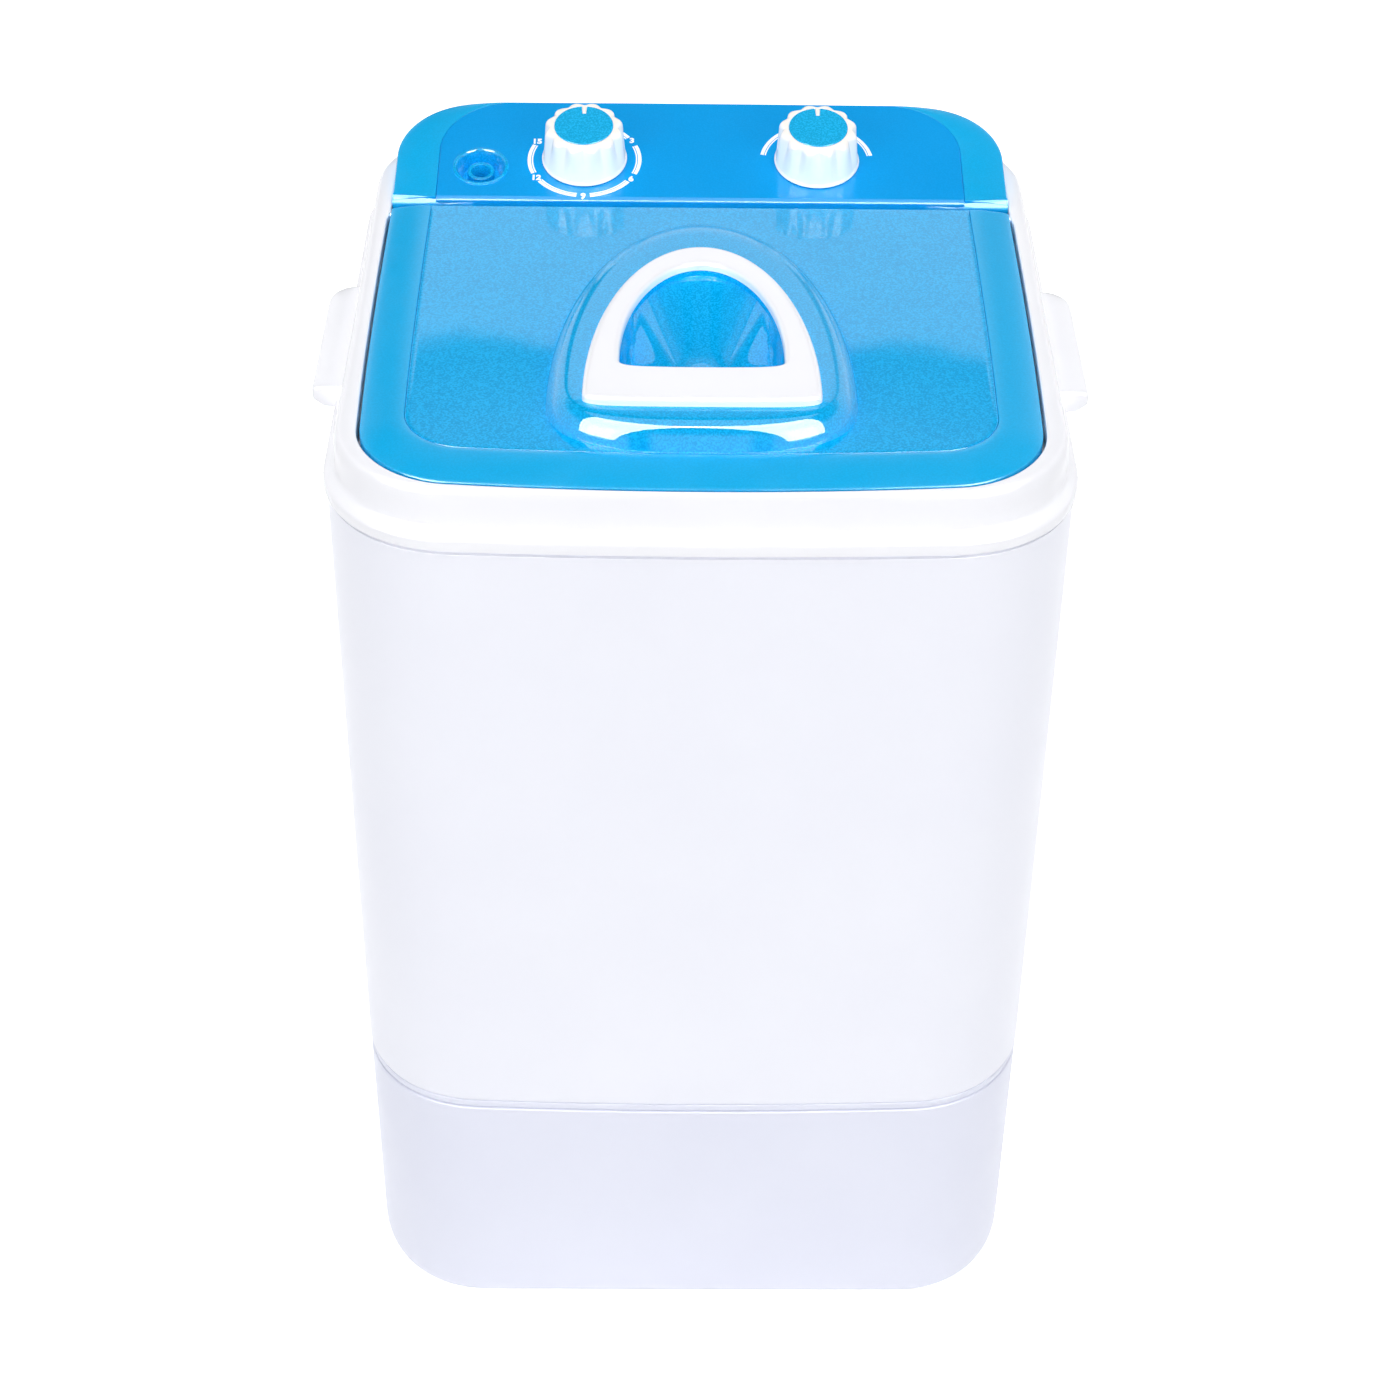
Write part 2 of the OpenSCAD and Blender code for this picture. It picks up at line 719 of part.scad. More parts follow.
module tub_profile() {
  t = tub_t;
  h = z_shelf - shelf_t - tub_z;
  translate([tub_r, tub_z]) polygon([[0, 18], [0, h - 2.6], [4, h - 2.6],
    [4, h], [-t, h], [-t, 18.5], [-4.5, 10.5], [-9.5, 5.6],
    [-17.5, 3], [-30, 3], [-30, 0], [-18, 0], [-8, 3.2], [-2.6, 9.4]]);
}

module wash_tub() {
  color([0.93, 0.95, 0.97]) difference() {
    union() {
      translate([0, tub_y, 0]) swept(tub_w, tub_d, tub_r) tub_profile();
      translate([0, tub_y, tub_z]) linear_extrude(3)
        plan(tub_w - 50, tub_d - 50, tub_r - 25);
      translate([0, tub_y, 0]) rotate_extrude() polygon([[0, dish_z],
        [dish_r - 2, dish_z], [dish_r + 3, tub_z], [dish_r + 3, tub_z + 3],
        [0, tub_z + 3]]);
    }
    translate([0, tub_y, 0]) rotate_extrude() polygon([[0, dish_z + 3],
      [dish_r - 4, dish_z + 3], [dish_r, tub_z + 3.1], [0, tub_z + 3.1]]);
    translate([0, tub_y, dish_z - 1]) cylinder(r = shaft_r + 5, h = 20);
    translate([drain_x, drain_y, tub_z - 1]) cylinder(r = pipe_in, h = 10);
    translate([drain_x, over_y, over_z]) rotate([90, 0, 0])
      cylinder(r = 6, h = 90);
    translate([inlet_x - 11, tub_y + 40, z_c - 1.6]) cube([22, 90, 8]);
  }
}

module lint_filter() {
  w = 62;
  color([0.95, 0.96, 0.98]) translate([-w/2, tub_y1 - tub_t - 14, tub_z + 150])
    difference() {
      cube([w, 14, 96]);
      translate([3, 3, 3]) cube([w - 6, 8, 99]);
      for (i = [0:7]) translate([8 + i*6, -1, 12]) cube([3, 5, 72]);
    }
}

module drain_grate() {
  color([0.9, 0.92, 0.95]) translate([drain_x, drain_y, tub_z + 3])
    difference() {
      cylinder(r = pipe_in + 4, h = 1.8);
      translate([0, 0, -1]) cylinder(r = 1.3, h = 4);
      for (i = [0:7]) rotate([0, 0, 45*i]) translate([5, 0, -1])
        cylinder(r = 1.3, h = 4);
    }
}

module drain_pipe() {
  y0 = drain_y + bend_r;
  y1 = body_d/2 + flange_over;
  z0 = drain_z + bend_r;
  color([0.75, 0.77, 0.8]) difference() {
    union() {
      translate([drain_x, drain_y, z0]) cylinder(r = pipe_r, h = tub_z - z0);
      translate([drain_x, y0, z0]) rotate([0, 90, 180])
        rotate_extrude(angle = 90) translate([bend_r, 0]) circle(pipe_r);
      translate([drain_x, y0, drain_z]) rotate([-90, 0, 0])
        cylinder(r = pipe_r, h = y1 - y0);
      translate([drain_x, over_y, drain_z]) cylinder(r = pipe_r, h = 22);
    }
    translate([drain_x, drain_y, z0]) cylinder(r = pipe_in, h = 200);
    translate([drain_x, y0, z0]) rotate([0, 90, 180])
      rotate_extrude(angle = 90) translate([bend_r, 0]) circle(pipe_in);
    translate([drain_x, y0, drain_z]) rotate([-90, 0, 0])
      cylinder(r = pipe_in, h = y1 - y0 + 1);
    translate([drain_x, y1 - 18, drain_z]) rotate([-90, 0, 0])
      cylinder(r = pipe_in + 0.7, h = 20);
    translate([drain_x, over_y, drain_z]) cylinder(r = pipe_in, h = 60);
  }
}

module overflow_pipe() {
  z1 = over_z - 16;
  y1 = over_y - 16;
  color([0.75, 0.77, 0.8]) difference() {
    union() {
      translate([drain_x, over_y, drain_z + 22])
        cylinder(r = 8.5, h = z1 - drain_z - 22);
      translate([drain_x, y1, z1]) rotate([90, 0, 90])
        rotate_extrude(angle = 90) translate([16, 0]) circle(8.5);
      translate([drain_x, y1, over_z]) rotate([90, 0, 0])
        cylinder(r = 8.5, h = 40);
    }
    translate([drain_x, over_y, drain_z + 21])
      cylinder(r = 6, h = z1 - drain_z - 21);
    translate([drain_x, y1, z1]) rotate([90, 0, 90])
      rotate_extrude(angle = 90) translate([16, 0]) circle(6);
    translate([drain_x, y1, over_z]) rotate([90, 0, 0])
      cylinder(r = 6, h = 60);
    translate([0, tub_y, over_z - 30]) linear_extrude(60)
      plan(tub_w, tub_d, tub_r);
  }
}

// ---------- pulsator and its shaft ----------

module pulsator() {
  z0 = dish_z + 6.5;
  color([0.82, 0.88, 0.95]) translate([0, tub_y, z0]) difference() {
    union() {
      rotate_extrude() polygon([[0, 0], [pulsator_r, 0], [pulsator_r, 3.2],
        [pulsator_r - 3, 5], [30, 7], [24, 14], [15, 17], [0, 17]]);
      for (i = [0:vanes - 1]) rotate([0, 0, i*360/vanes])
        translate([0, 5, 0]) rotate([90, 0, 0]) linear_extrude(10)
          polygon([[12, 3], [pulsator_r - 6, 3], [pulsator_r - 9, 10],
            [pulsator_r - 20, 14], [30, 20], [12, 22]]);
      cylinder(r = 17, h = 22);
    }
    translate([0, 0, -1]) cylinder(r = shaft_r - 1.5, h = 20);
    translate([0, 0, 10]) cylinder(r = 2.5, h = 30);
    translate([0, 0, 19]) cylinder(r = 8, h = 30);
  }
}

module pulsator_screw() {
  color([0.8, 0.81, 0.83]) translate([0, tub_y, dish_z + 6.5 + 19]) difference() {
    union() {
      translate([0, 0, -13]) cylinder(r = 2.5, h = 13);
      cylinder(r = 6, h = 2);
    }
    translate([-4, -0.6, 1]) cube([8, 1.2, 4]);
  }
}

module pulsator_shaft() {
  z1 = dish_z + 6.5 + 18;
  color([0.7, 0.71, 0.73]) translate([0, tub_y, 0]) difference() {
    union() {
      translate([0, 0, belt_z - 9]) cylinder(r = shaft_r, h = dish_z + 6.5 - belt_z + 9);
      translate([0, 0, belt_z - 22]) cylinder(r = shaft_r - 1.5, h = z1 - belt_z + 22);
    }
    translate([0, 0, dish_z + 6.5 + 6]) cylinder(r = 2.5, h = 20);
  }
}

module shaft_seal() {
  color([0.12, 0.12, 0.13]) translate([0, tub_y, 0]) rotate_extrude()
    polygon([[shaft_r + run, dish_z - 5], [shaft_r + 5, dish_z - 5],
      [shaft_r + 5, dish_z + 3], [shaft_r + 10, dish_z + 3],
      [shaft_r + 7, dish_z + 5], [shaft_r + run, dish_z + 5.6]]);
}

module shaft_bushes() {
  color([0.72, 0.55, 0.28]) translate([0, tub_y, 0]) {
    translate([0, 0, deck_z + 8]) tube(shaft_r + 5, shaft_r + run, 16);
    translate([0, 0, dish_z - 24]) tube(shaft_r + 5, shaft_r + run, 16);
  }
}

module bearing_housing() {
  z0 = deck_z + deck_t;
  color([0.72, 0.74, 0.77]) translate([0, tub_y, 0]) difference() {
    union() {
      translate([0, 0, z0]) cylinder(r = 46, h = 5);
      translate([0, 0, deck_z]) cylinder(r = shaft_r + 12, h = dish_z - deck_z);
      translate([0, 0, dish_z - 5]) cylinder(r = 42, h = 5);
      for (i = [0:3]) rotate([0, 0, 90*i]) rotate([90, 0, 0])
        translate([0, z0 + 4, -2]) linear_extrude(4)
          polygon([[shaft_r + 10, 0], [40, 0], [shaft_r + 14, 24],
            [shaft_r + 14, dish_z - z0 - 28], [38, dish_z - z0 - 8],
            [shaft_r + 10, dish_z - z0 - 8]]);
    }
    translate([0, 0, deck_z - 1]) cylinder(r = shaft_r + 5, h = 100);
    for (i = [0:3]) rotate([0, 0, 45 + 90*i]) translate([36, 0, z0 - 1])
      cylinder(r = 2.5, h = 8);
  }
}

module housing_bolts() {
  color([0.75, 0.76, 0.78]) translate([0, tub_y, 0])
    for (i = [0:3]) rotate([0, 0, 45 + 90*i])
      translate([36, 0, deck_z + deck_t + 5]) rotate([180, 0, 0]) {
        cylinder(r = 2.5, h = 12);
        translate([0, 0, -3.5]) cylinder(r = 4.6, h = 3.5, $fn = 6);
      }
}

// ---------- deck and motor ----------

module deck_plan() {
  translate([0, (post_y0 + post_y1)/2])
    plan(2*deck_x, post_y1 - post_y0 + 26, 10);
}

module deck_plate() {
  color([0.62, 0.64, 0.67]) difference() {
    translate([0, 0, deck_z]) linear_extrude(deck_t) deck_plan();
    translate([0, tub_y, deck_z - 1]) {
      cylinder(r = shaft_r + 12, h = 10);
      for (i = [0:3]) rotate([0, 0, 45 + 90*i]) translate([36, 0, 0])
        cylinder(r = 2.5, h = 10);
    }
    translate([0, motor_y, deck_z - 1]) {
      cylinder(r = 20, h = 10);
      for (i = [0:3]) rotate([0, 0, 45 + 90*i])
        translate([bolt_ring, 0, 0]) cylinder(r = 3, h = 10);
    }
    for (x = [-1, 1]) for (y = [post_y0, post_y1])
      translate([x*(deck_x - 12), y, deck_z - 1]) cylinder(r = 2.5, h = 10);
  }
}

module deck_screws() {
  color([0.75, 0.76, 0.78]) for (x = [-1, 1]) for (y = [post_y0, post_y1])
    translate([x*(deck_x - 12), y, deck_z + deck_t]) rotate([180, 0, 0])
      pan_screw(2.5, 5, 2.4, 16);
}

module groove_profile(r, hub) {
  polygon([[hub, -7], [r, -7], [r, -5], [r - 6, -2.5], [r - 6, 2.5], [r, 5],
    [r, 7], [hub, 7]]);
}

module driven_pulley() {
  color([0.8, 0.81, 0.83]) translate([0, tub_y, belt_z]) difference() {
    union() {
      rotate_extrude() groove_profile(driven_r, driven_r - 12);
      translate([0, 0, -2]) cylinder(r = driven_r - 10, h = 4);
      translate([0, 0, -8]) cylinder(r = shaft_r + 7, h = 16);
    }
    translate([0, 0, -20]) cylinder(r = shaft_r, h = 40);
    for (i = [0:4]) rotate([0, 0, 72*i]) translate([driven_r*0.5, 0, -10])
      cylinder(r = driven_r*0.155, h = 20);
  }
}

module pulley_nut() {
  color([0.75, 0.76, 0.78]) translate([0, tub_y, belt_z - 18]) difference() {
    union() {
      cylinder(r = 9.5, h = 7, $fn = 6);
      translate([0, 0, 7]) cylinder(r = 12, h = 2);
    }
    translate([0, 0, -1]) cylinder(r = shaft_r - 1.5, h = 12);
  }
}

// belt outline: two arcs joined by the straight runs that touch both
module belt_plan(r1, r2) {
  s = asin((r1 - r2)/belt_c);
  circle(r1);
  translate([0, belt_c]) circle(r2);
  polygon([[r1*cos(s), r1*sin(s)], [r2*cos(s), belt_c + r2*sin(s)],
    [-r2*cos(s), belt_c + r2*sin(s)], [-r1*cos(s), r1*sin(s)]]);
}

module drive_belt() {
  r1 = driven_r - 6 + 0.4;
  r2 = motor_pulley_r - 6 + 0.4;
  color([0.1, 0.1, 0.11]) translate([0, tub_y, belt_z - 2.2])
    linear_extrude(4.4) difference() {
      belt_plan(r1 + 4.6, r2 + 4.6);
      belt_plan(r1, r2);
    }
}

module motor_pulley() {
  color([0.8, 0.81, 0.83]) translate([0, motor_y, belt_z]) difference() {
    rotate_extrude() groove_profile(motor_pulley_r, 0);
    translate([0, 0, -20]) cylinder(r = 5, h = 40);
  }
}

module cooling_fan() {
  color([0.2, 0.21, 0.23]) translate([0, motor_y, belt_z - 20]) difference() {
    union() {
      cylinder(r = 10, h = 11);
      cylinder(r = 36, h = 2);
      for (i = [0:9]) rotate([0, 0, 36*i]) translate([8, -1, 1])
        cube([27, 2, 9]);
    }
    translate([0, 0, -1]) cylinder(r = 5, h = 40);
  }
}

module motor_rotor() {
  color([0.6, 0.61, 0.63]) translate([0, motor_y, 0]) {
    translate([0, 0, belt_z - 20]) cylinder(r = 5, h = motor_z + 55 - belt_z + 20);
    translate([0, 0, motor_z + 10]) cylinder(r = rotor_r, h = 36);
  }
}

module motor_stator() {
  color([0.5, 0.52, 0.55]) translate([0, motor_y, motor_z + 8]) difference() {
    linear_extrude(40) plan(2*motor_a, 2*motor_a, 22);
    translate([0, 0, -1]) cylinder(r = rotor_r + 0.6, h = 50);
    for (i = [0:3]) rotate([0, 0, 90*i]) translate([motor_a - 3, -12, -1])
      cube([6, 24, 50]);
  }
}

module motor_caps() {
  a = motor_a;
  color([0.75, 0.77, 0.8]) translate([0, motor_y, motor_z]) {
    difference() {
      union() {
        linear_extrude(8) plan(2*a - 4, 2*a - 4, 24);
        for (i = [0:3]) rotate([0, 0, 45 + 90*i])
          translate([bolt_ring, 0, 2.5]) cylinder(r = 8.5, h = 4.5);
        for (i = [0:3]) rotate([0, 0, 45 + 90*i])
          translate([a*0.8, -8.5, 2.5]) cube([bolt_ring - a*0.8, 17, 4.5]);
      }
      translate([0, 0, -1]) cylinder(r = 5 + run, h = 20);
      translate([0, 0, 3]) cylinder(r = rotor_r + 2, h = 20);
      for (i = [0:3]) rotate([0, 0, 45 + 90*i])
        translate([bolt_ring, 0, -1]) cylinder(r = 3, h = 20);
    }
    translate([0, 0, 48]) difference() {
      linear_extrude(8) plan(2*a - 4, 2*a - 4, 24);
      translate([0, 0, -1]) cylinder(r = 5 + run, h = 20);
      translate([0, 0, -1]) cylinder(r = rotor_r + 2, h = 6);
      for (i = [0:7]) rotate([0, 0, 45*i]) translate([20, 0, -1])
        cylinder(r = 4, h = 20);
    }
  }
}

module motor_mounts() {
  color([0.14, 0.14, 0.15]) translate([0, motor_y, deck_z + deck_t])
    for (i = [0:3]) rotate([0, 0, 45 + 90*i])
      translate([bolt_ring, 0, 0]) tube(8, 3, 5.5);
}

module motor_bolts() {
  color([0.75, 0.76, 0.78]) translate([0, motor_y, deck_z])
    for (i = [0:3]) rotate([0, 0, 45 + 90*i])
      translate([bolt_ring, 0, 0]) {
        cylinder(r = 3, h = 20);
        translate([0, 0, -3.5]) cylinder(r = 5.2, h = 3.5, $fn = 6);
        translate([0, 0, deck_t + 10]) cylinder(r = 5, h = 4, $fn = 6);
      }
}

module capacitor() {
  color([0.86, 0.87, 0.88]) translate([capacitor_x, capacitor_y, floor_z + floor_t]) {
    cylinder(r = 17.5, h = 62);
    for (x = [-1, 1]) translate([x*6 - 0.4, -3, 62]) cube([0.8, 6, 8]);
  }
}

module capacitor_clip() {
  color([0.7, 0.72, 0.74]) translate([capacitor_x, capacitor_y, floor_z + floor_t]) difference() {
    union() {
      translate([0, 0, 14]) cylinder(r = 19, h = 12);
      translate([-32, -6, 0]) cube([14, 12, 1.6]);
      translate([-20, -6, 0]) cube([2, 12, 26]);
    }
    translate([0, 0, -1]) cylinder(r = 17.6, h = 40);
    translate([16, -3, -1]) cube([10, 6, 40]);
  }
}

module terminal_box() {
  color([0.25, 0.26, 0.28]) translate([terminal_x, 20, floor_z + floor_t])
    difference() {
      cube([44, 30, 26]);
      for (i = [0:3]) translate([8 + i*9.4, 15, 14]) cylinder(r = 3, h = 20);
    }
}

module cord_gland() {
  color([0.14, 0.14, 0.15]) translate([gland_x, y_back, drain_z])
    rotate([-90, 0, 0]) difference() {
      union() {
        translate([0, 0, -8]) cylinder(r = 8, h = 10);
        cylinder(r = 11, h = 2.5);
        translate([0, 0, -shell_t - 3]) cylinder(r = 10.5, h = 3);
      }
      translate([0, 0, -20]) cylinder(r = 3.6, h = 40);
    }
}

// ---------- parts ----------

base_housing();
feet();
foot_screws();
rear_cover();
cover_screws();
cabinet_shell();
case_screws();
top_frame();
control_panel();
panel_fascia();
dial_marks();
water_inlet();
inlet_duct();
timer_unit();
timer_shaft();
timer_knob();
timer_cap();
selector_switch();
selector_shaft();
selector_knob();
selector_cap();
hinge_pins();
lid_cover();
lid_panel();
handle_ring();
lid_buffers();
wash_tub();
lint_filter();
drain_grate();
drain_pipe();
overflow_pipe();
pulsator();
pulsator_screw();
pulsator_shaft();
shaft_seal();
shaft_bushes();
bearing_housing();
housing_bolts();
deck_plate();
deck_screws();
driven_pulley();
pulley_nut();
drive_belt();
motor_pulley();
cooling_fan();
motor_rotor();
motor_stator();
motor_caps();
motor_mounts();
motor_bolts();
capacitor();
capacitor_clip();
terminal_box();
cord_gland();
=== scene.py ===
"""Portable top load washing machine: the finished surfaces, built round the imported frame."""
import json
import math

import bmesh
import bpy
import numpy as np
from mathutils import Matrix, Vector

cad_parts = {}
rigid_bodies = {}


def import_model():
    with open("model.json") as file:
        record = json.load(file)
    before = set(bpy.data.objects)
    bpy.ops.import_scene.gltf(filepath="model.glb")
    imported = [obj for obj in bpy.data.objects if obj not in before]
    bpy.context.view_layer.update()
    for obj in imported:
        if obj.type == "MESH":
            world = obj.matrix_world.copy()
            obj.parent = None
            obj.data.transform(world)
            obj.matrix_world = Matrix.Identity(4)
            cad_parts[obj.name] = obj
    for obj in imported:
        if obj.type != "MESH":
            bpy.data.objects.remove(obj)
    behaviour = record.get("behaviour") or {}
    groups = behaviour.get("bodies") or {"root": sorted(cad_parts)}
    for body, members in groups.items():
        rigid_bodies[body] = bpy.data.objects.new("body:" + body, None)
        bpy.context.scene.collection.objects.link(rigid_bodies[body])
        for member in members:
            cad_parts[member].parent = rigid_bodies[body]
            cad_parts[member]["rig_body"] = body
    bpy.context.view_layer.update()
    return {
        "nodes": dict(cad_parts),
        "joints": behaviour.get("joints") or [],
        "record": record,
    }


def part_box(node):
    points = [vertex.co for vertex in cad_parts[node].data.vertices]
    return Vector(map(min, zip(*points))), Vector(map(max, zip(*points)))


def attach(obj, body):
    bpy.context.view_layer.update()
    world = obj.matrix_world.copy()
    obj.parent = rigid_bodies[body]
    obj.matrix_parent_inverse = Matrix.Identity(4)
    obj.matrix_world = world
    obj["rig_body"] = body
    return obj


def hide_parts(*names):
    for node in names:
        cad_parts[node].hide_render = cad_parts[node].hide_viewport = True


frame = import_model()
MM = 0.001
NODES = frame["nodes"]


def box_mm(name):
    lo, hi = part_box(name)
    return np.array(lo) / MM, np.array(hi) / MM


# ---------------------------------------------------------------- camera and view

bpy.context.scene.view_settings.view_transform = "Standard"

camera = bpy.data.objects.new("camera", bpy.data.cameras.new("camera"))
bpy.context.scene.collection.objects.link(camera)
bpy.context.scene.camera = camera
camera.data.lens, camera.data.sensor_width = 73.9, 36
camera.data.shift_x, camera.data.shift_y = -0.0117, -0.1514
camera.location = (-0.0124, -1.2562, 1.3222)
EYE_PITCH, EYE_YAW, EYE_ROLL = 0.6111, -0.0174, 0.0172
camera.rotation_mode = "QUATERNION"
camera.rotation_quaternion = (
    Matrix.Rotation(EYE_YAW, 4, "Z")
    @ Matrix.Rotation(math.pi / 2 - EYE_PITCH, 4, "X")
    @ Matrix.Rotation(EYE_ROLL, 4, "Z")
).to_quaternion()

# ---------------------------------------------------------------- sizes from the frame, in mm

cab_lo, cab_hi = box_mm("cabinet_shell")
base_lo, base_hi = box_mm("base_housing")
frame_hi = box_mm("top_frame")[1]
lid_lo, lid_hi = box_mm("lid_cover")
field_lo, field_hi = box_mm("lid_panel")
panel_lo, panel_hi = box_mm("control_panel")
tub_lo, tub_hi = box_mm("wash_tub")
pulsator_lo, pulsator_hi = box_mm("pulsator")
motor_lo, motor_hi = box_mm("motor_stator")
cover_lo, cover_hi = box_mm("rear_cover")
drain_lo, drain_hi = box_mm("drain_pipe")
gland_hi = box_mm("cord_gland")[1]
JOINTS = {j["name"]: j for j in frame["joints"]}
HINGE_Y, HINGE_Z = (c / MM for c in JOINTS["lid_hinge"]["pos_m"][1:])
TIMER, SELECTOR = (np.array(JOINTS[j]["pos_m"]) / MM for j in ("timer_turn", "selector_turn"))
TILT = math.atan2(-JOINTS["timer_turn"]["axis"][1], JOINTS["timer_turn"]["axis"][2])
CORNER = 62.0              # corner radius of the cabinet
WALL = 2.8                 # thickness of the moulded walls
FLANGE_Z = cab_hi[2]
Z_RIM = frame_hi[2]
Z_LID = lid_hi[2]
LID_W, LID_Y0 = lid_hi[0], lid_lo[1]
PANEL_Y0, PANEL_Y1 = panel_lo[1], panel_hi[1]
ROLL_R = Z_LID - HINGE_Z   # radius of the lid's rolled rear edge

# ---------------------------------------------------------------- materials


def linear(code):
    """sRGB hex to a linear colour."""
    parts = [int(code[i:i + 2], 16) / 255 for i in (1, 3, 5)]
    return tuple(c / 12.92 if c <= 0.04045 else ((c + 0.055) / 1.055) ** 2.4
                 for c in parts) + (1.0,)


def add(tree, kind, settings=None, stops=(), **links):
    """One node: its settings, a ramp's stops as (place, value), and its inputs, each of which is
    a value or another node's socket."""
    made = tree.nodes.new(kind)
    for name, value in (settings or {}).items():
        setattr(made, name, value)
    if stops:
        line = made.color_ramp.elements
        while len(line) < len(stops):
            line.new(0.5)
        for spot, (where, value) in zip(line, stops):
            spot.position, spot.color = where, (value, value, value, 1)
    for name, value in links.items():
        key = int(name[1:]) if name[0] == "i" and name[1:].isdigit() else name.replace("_", " ")
        if isinstance(value, bpy.types.NodeSocket):
            tree.links.new(value, made.inputs[key])
        else:
            made.inputs[key].default_value = value
    return made


def surface(name, **sockets):
    """A new material and its shader, with the even values set on the shader itself."""
    made = bpy.data.materials.new(name)
    made.use_nodes = True
    shader = made.node_tree.nodes["Principled BSDF"]
    for key, value in sockets.items():
        shader.inputs[key.replace("_", " ")].default_value = value
    return made, made.node_tree, shader


FLAKE_MM = 0.9             # flake of a tenth of a millimetre, drawn this coarse so that it shows


def finish(name, colours, rough, tone, wear, grain, depth_mm, strength, sparkle=0.0,
           stretch=None, **sockets):
    """A finish made of soft noise. tone, wear and grain are (millimetres across, detail): tone
    mixes the two colours, wear moves the roughness between its two values, and grain stands up
    by its depth. sparkle is the share of the tone that comes from fine flake."""
    made, tree, shader = surface(name, **sockets)
    place = add(tree, "ShaderNodeTexCoord").outputs["Object"]
    if stretch:
        place = add(tree, "ShaderNodeMapping", Vector=place, Scale=stretch).outputs["Vector"]
    noise = {}
    for across, detail in (tone, wear, grain) + (((FLAKE_MM, 0),) if sparkle else ()):
        if (across, detail) not in noise:
            noise[across, detail] = add(tree, "ShaderNodeTexNoise", Vector=place,
                                        Scale=1000 / across, Detail=detail).outputs["Fac"]
    mixed = noise[tone]
    if sparkle:
        flake = add(tree, "ShaderNodeMapRange", i0=noise[FLAKE_MM, 0], i1=0.38, i2=0.66)
        even = add(tree, "ShaderNodeMath", {"operation": "MULTIPLY"}, i0=mixed, i1=1 - sparkle)
        mixed = add(tree, "ShaderNodeMath", {"operation": "MULTIPLY_ADD"}, i0=flake.outputs[0],
                    i1=sparkle, i2=even.outputs[0]).outputs[0]
    # noise keeps mostly to the middle half of its range
    mixed = add(tree, "ShaderNodeMapRange", i0=mixed, i1=0.25, i2=0.75)
    colour = add(tree, "ShaderNodeMix", {"data_type": "RGBA"}, Factor=mixed.outputs[0],
                 i6=linear(colours[0]), i7=linear(colours[1]))
    worn = add(tree, "ShaderNodeMapRange", i0=noise[wear], i1=0.25, i2=0.75, i3=rough[0],
               i4=rough[1])
    bump = add(tree, "ShaderNodeBump", Height=noise[grain], Strength=strength,
               Distance=depth_mm * MM)
    tree.links.new(colour.outputs[2], shader.inputs["Base Color"])
    tree.links.new(worn.outputs[0], shader.inputs["Roughness"])
    tree.links.new(bump.outputs["Normal"], shader.inputs["Normal"])
    return made


def gloss_plastic(name, base, shade, rough, sparkle=0.0):
    """Injection moulded ABS or PP from a polished mould: clear reflections, a faint slow
    waviness where the wall shrank, and a very small change of tone over the face."""
    return finish(name, (base, shade), (rough * 0.85, rough * 1.2), (90, 3), (18, 4), (38, 2),
                  0.05, 0.35, sparkle, Metallic=0.0, IOR=1.5)


def satin_plastic(name, base, shade, rough=0.5, grain_mm=1.2):
    """Moulded PP or ABS from a spark eroded mould: an even fine grain that breaks up the gloss."""
    return finish(name, (base, shade), (rough * 0.88, rough * 1.12), (60, 3), (9, 3),
                  (grain_mm, 2), 0.04, 0.5, Metallic=0.0, IOR=1.49)


def bare_metal(name, base, shade, rough, grain_mm, stretch=(1, 1, 1)):
    """Turned, drawn, cast or plated metal: bright, with the marks of the way it was worked."""
    marks = (grain_mm, 4)
    return finish(name, (base, shade), (rough * 0.8, rough * 1.3), marks, marks, marks,
                  0.03, 0.4, stretch=stretch, Metallic=1.0)


def rubber(name, base, shade):
    """Moulded nitrile rubber: dull, with a bloom of paler patches."""
    return finish(name, (base, shade), (0.62, 0.85), (14, 5), (5, 3), (0.8, 2), 0.05, 0.6,
                  Metallic=0.0, IOR=1.52, Specular_IOR_Level=0.35)


# moulded ABS, cool white with a trace of blue: broad soft reflections
CABINET_WHITE = gloss_plastic("cabinet_white_abs", "#F0F1F8", "#EDEEF6", 0.34)
BASE_WHITE = gloss_plastic("base_white_abs", "#E3E5F1", "#DFE1EE", 0.36)
# the same plastic in a brighter white, from a more polished mould: sharper highlights
RIM_WHITE = gloss_plastic("rim_white_abs", "#F6F6F9", "#F2F2F6", 0.2)
# the knobs' white carries a painted warm tint: it offsets the blue light that the panel throws onto
# the knobs' sides
KNOB_WHITE = gloss_plastic("knob_warm_white_abs", "#FFF8F1", "#FDF6EE", 0.22)
# turquoise paint under clear lacquer: a deep even colour with a fine glitter
BORDER_TURQUOISE = gloss_plastic("border_turquoise_lacquer", "#00A8E1", "#04B0EA", 0.22, 0.4)
CAP_TURQUOISE = gloss_plastic("cap_turquoise_lacquer", "#00A4DA", "#18BAF0", 0.2, 0.6)
# sky blue film with fine flake, moulded into the lid: it mirrors what is above it
LID_BLUE = gloss_plastic("lid_blue_flake_film", "#009EDA", "#12B4F0", 0.03, 0.6)
# printed polycarbonate facing of the panel: the film's colour with a softer mirror
FACING_BLUE = gloss_plastic("facing_blue_polycarbonate", "#009AE2", "#06A0E9", 0.14, 0.35)
# screen printed ink: white, dull and slightly rough
PRINT_WHITE = satin_plastic("print_white_ink", "#FFFFFF", "#F8FAFF", 0.5, 0.5)
# polypropylene of the wet parts: a little waxy, so the gloss is broad
TUB_WHITE = gloss_plastic("tub_white_pp", "#E6EBF4", "#DDE4EF", 0.35)
PULSATOR_BLUE = gloss_plastic("pulsator_pale_blue_pp", "#BFD4EC", "#B1C9E6", 0.22)
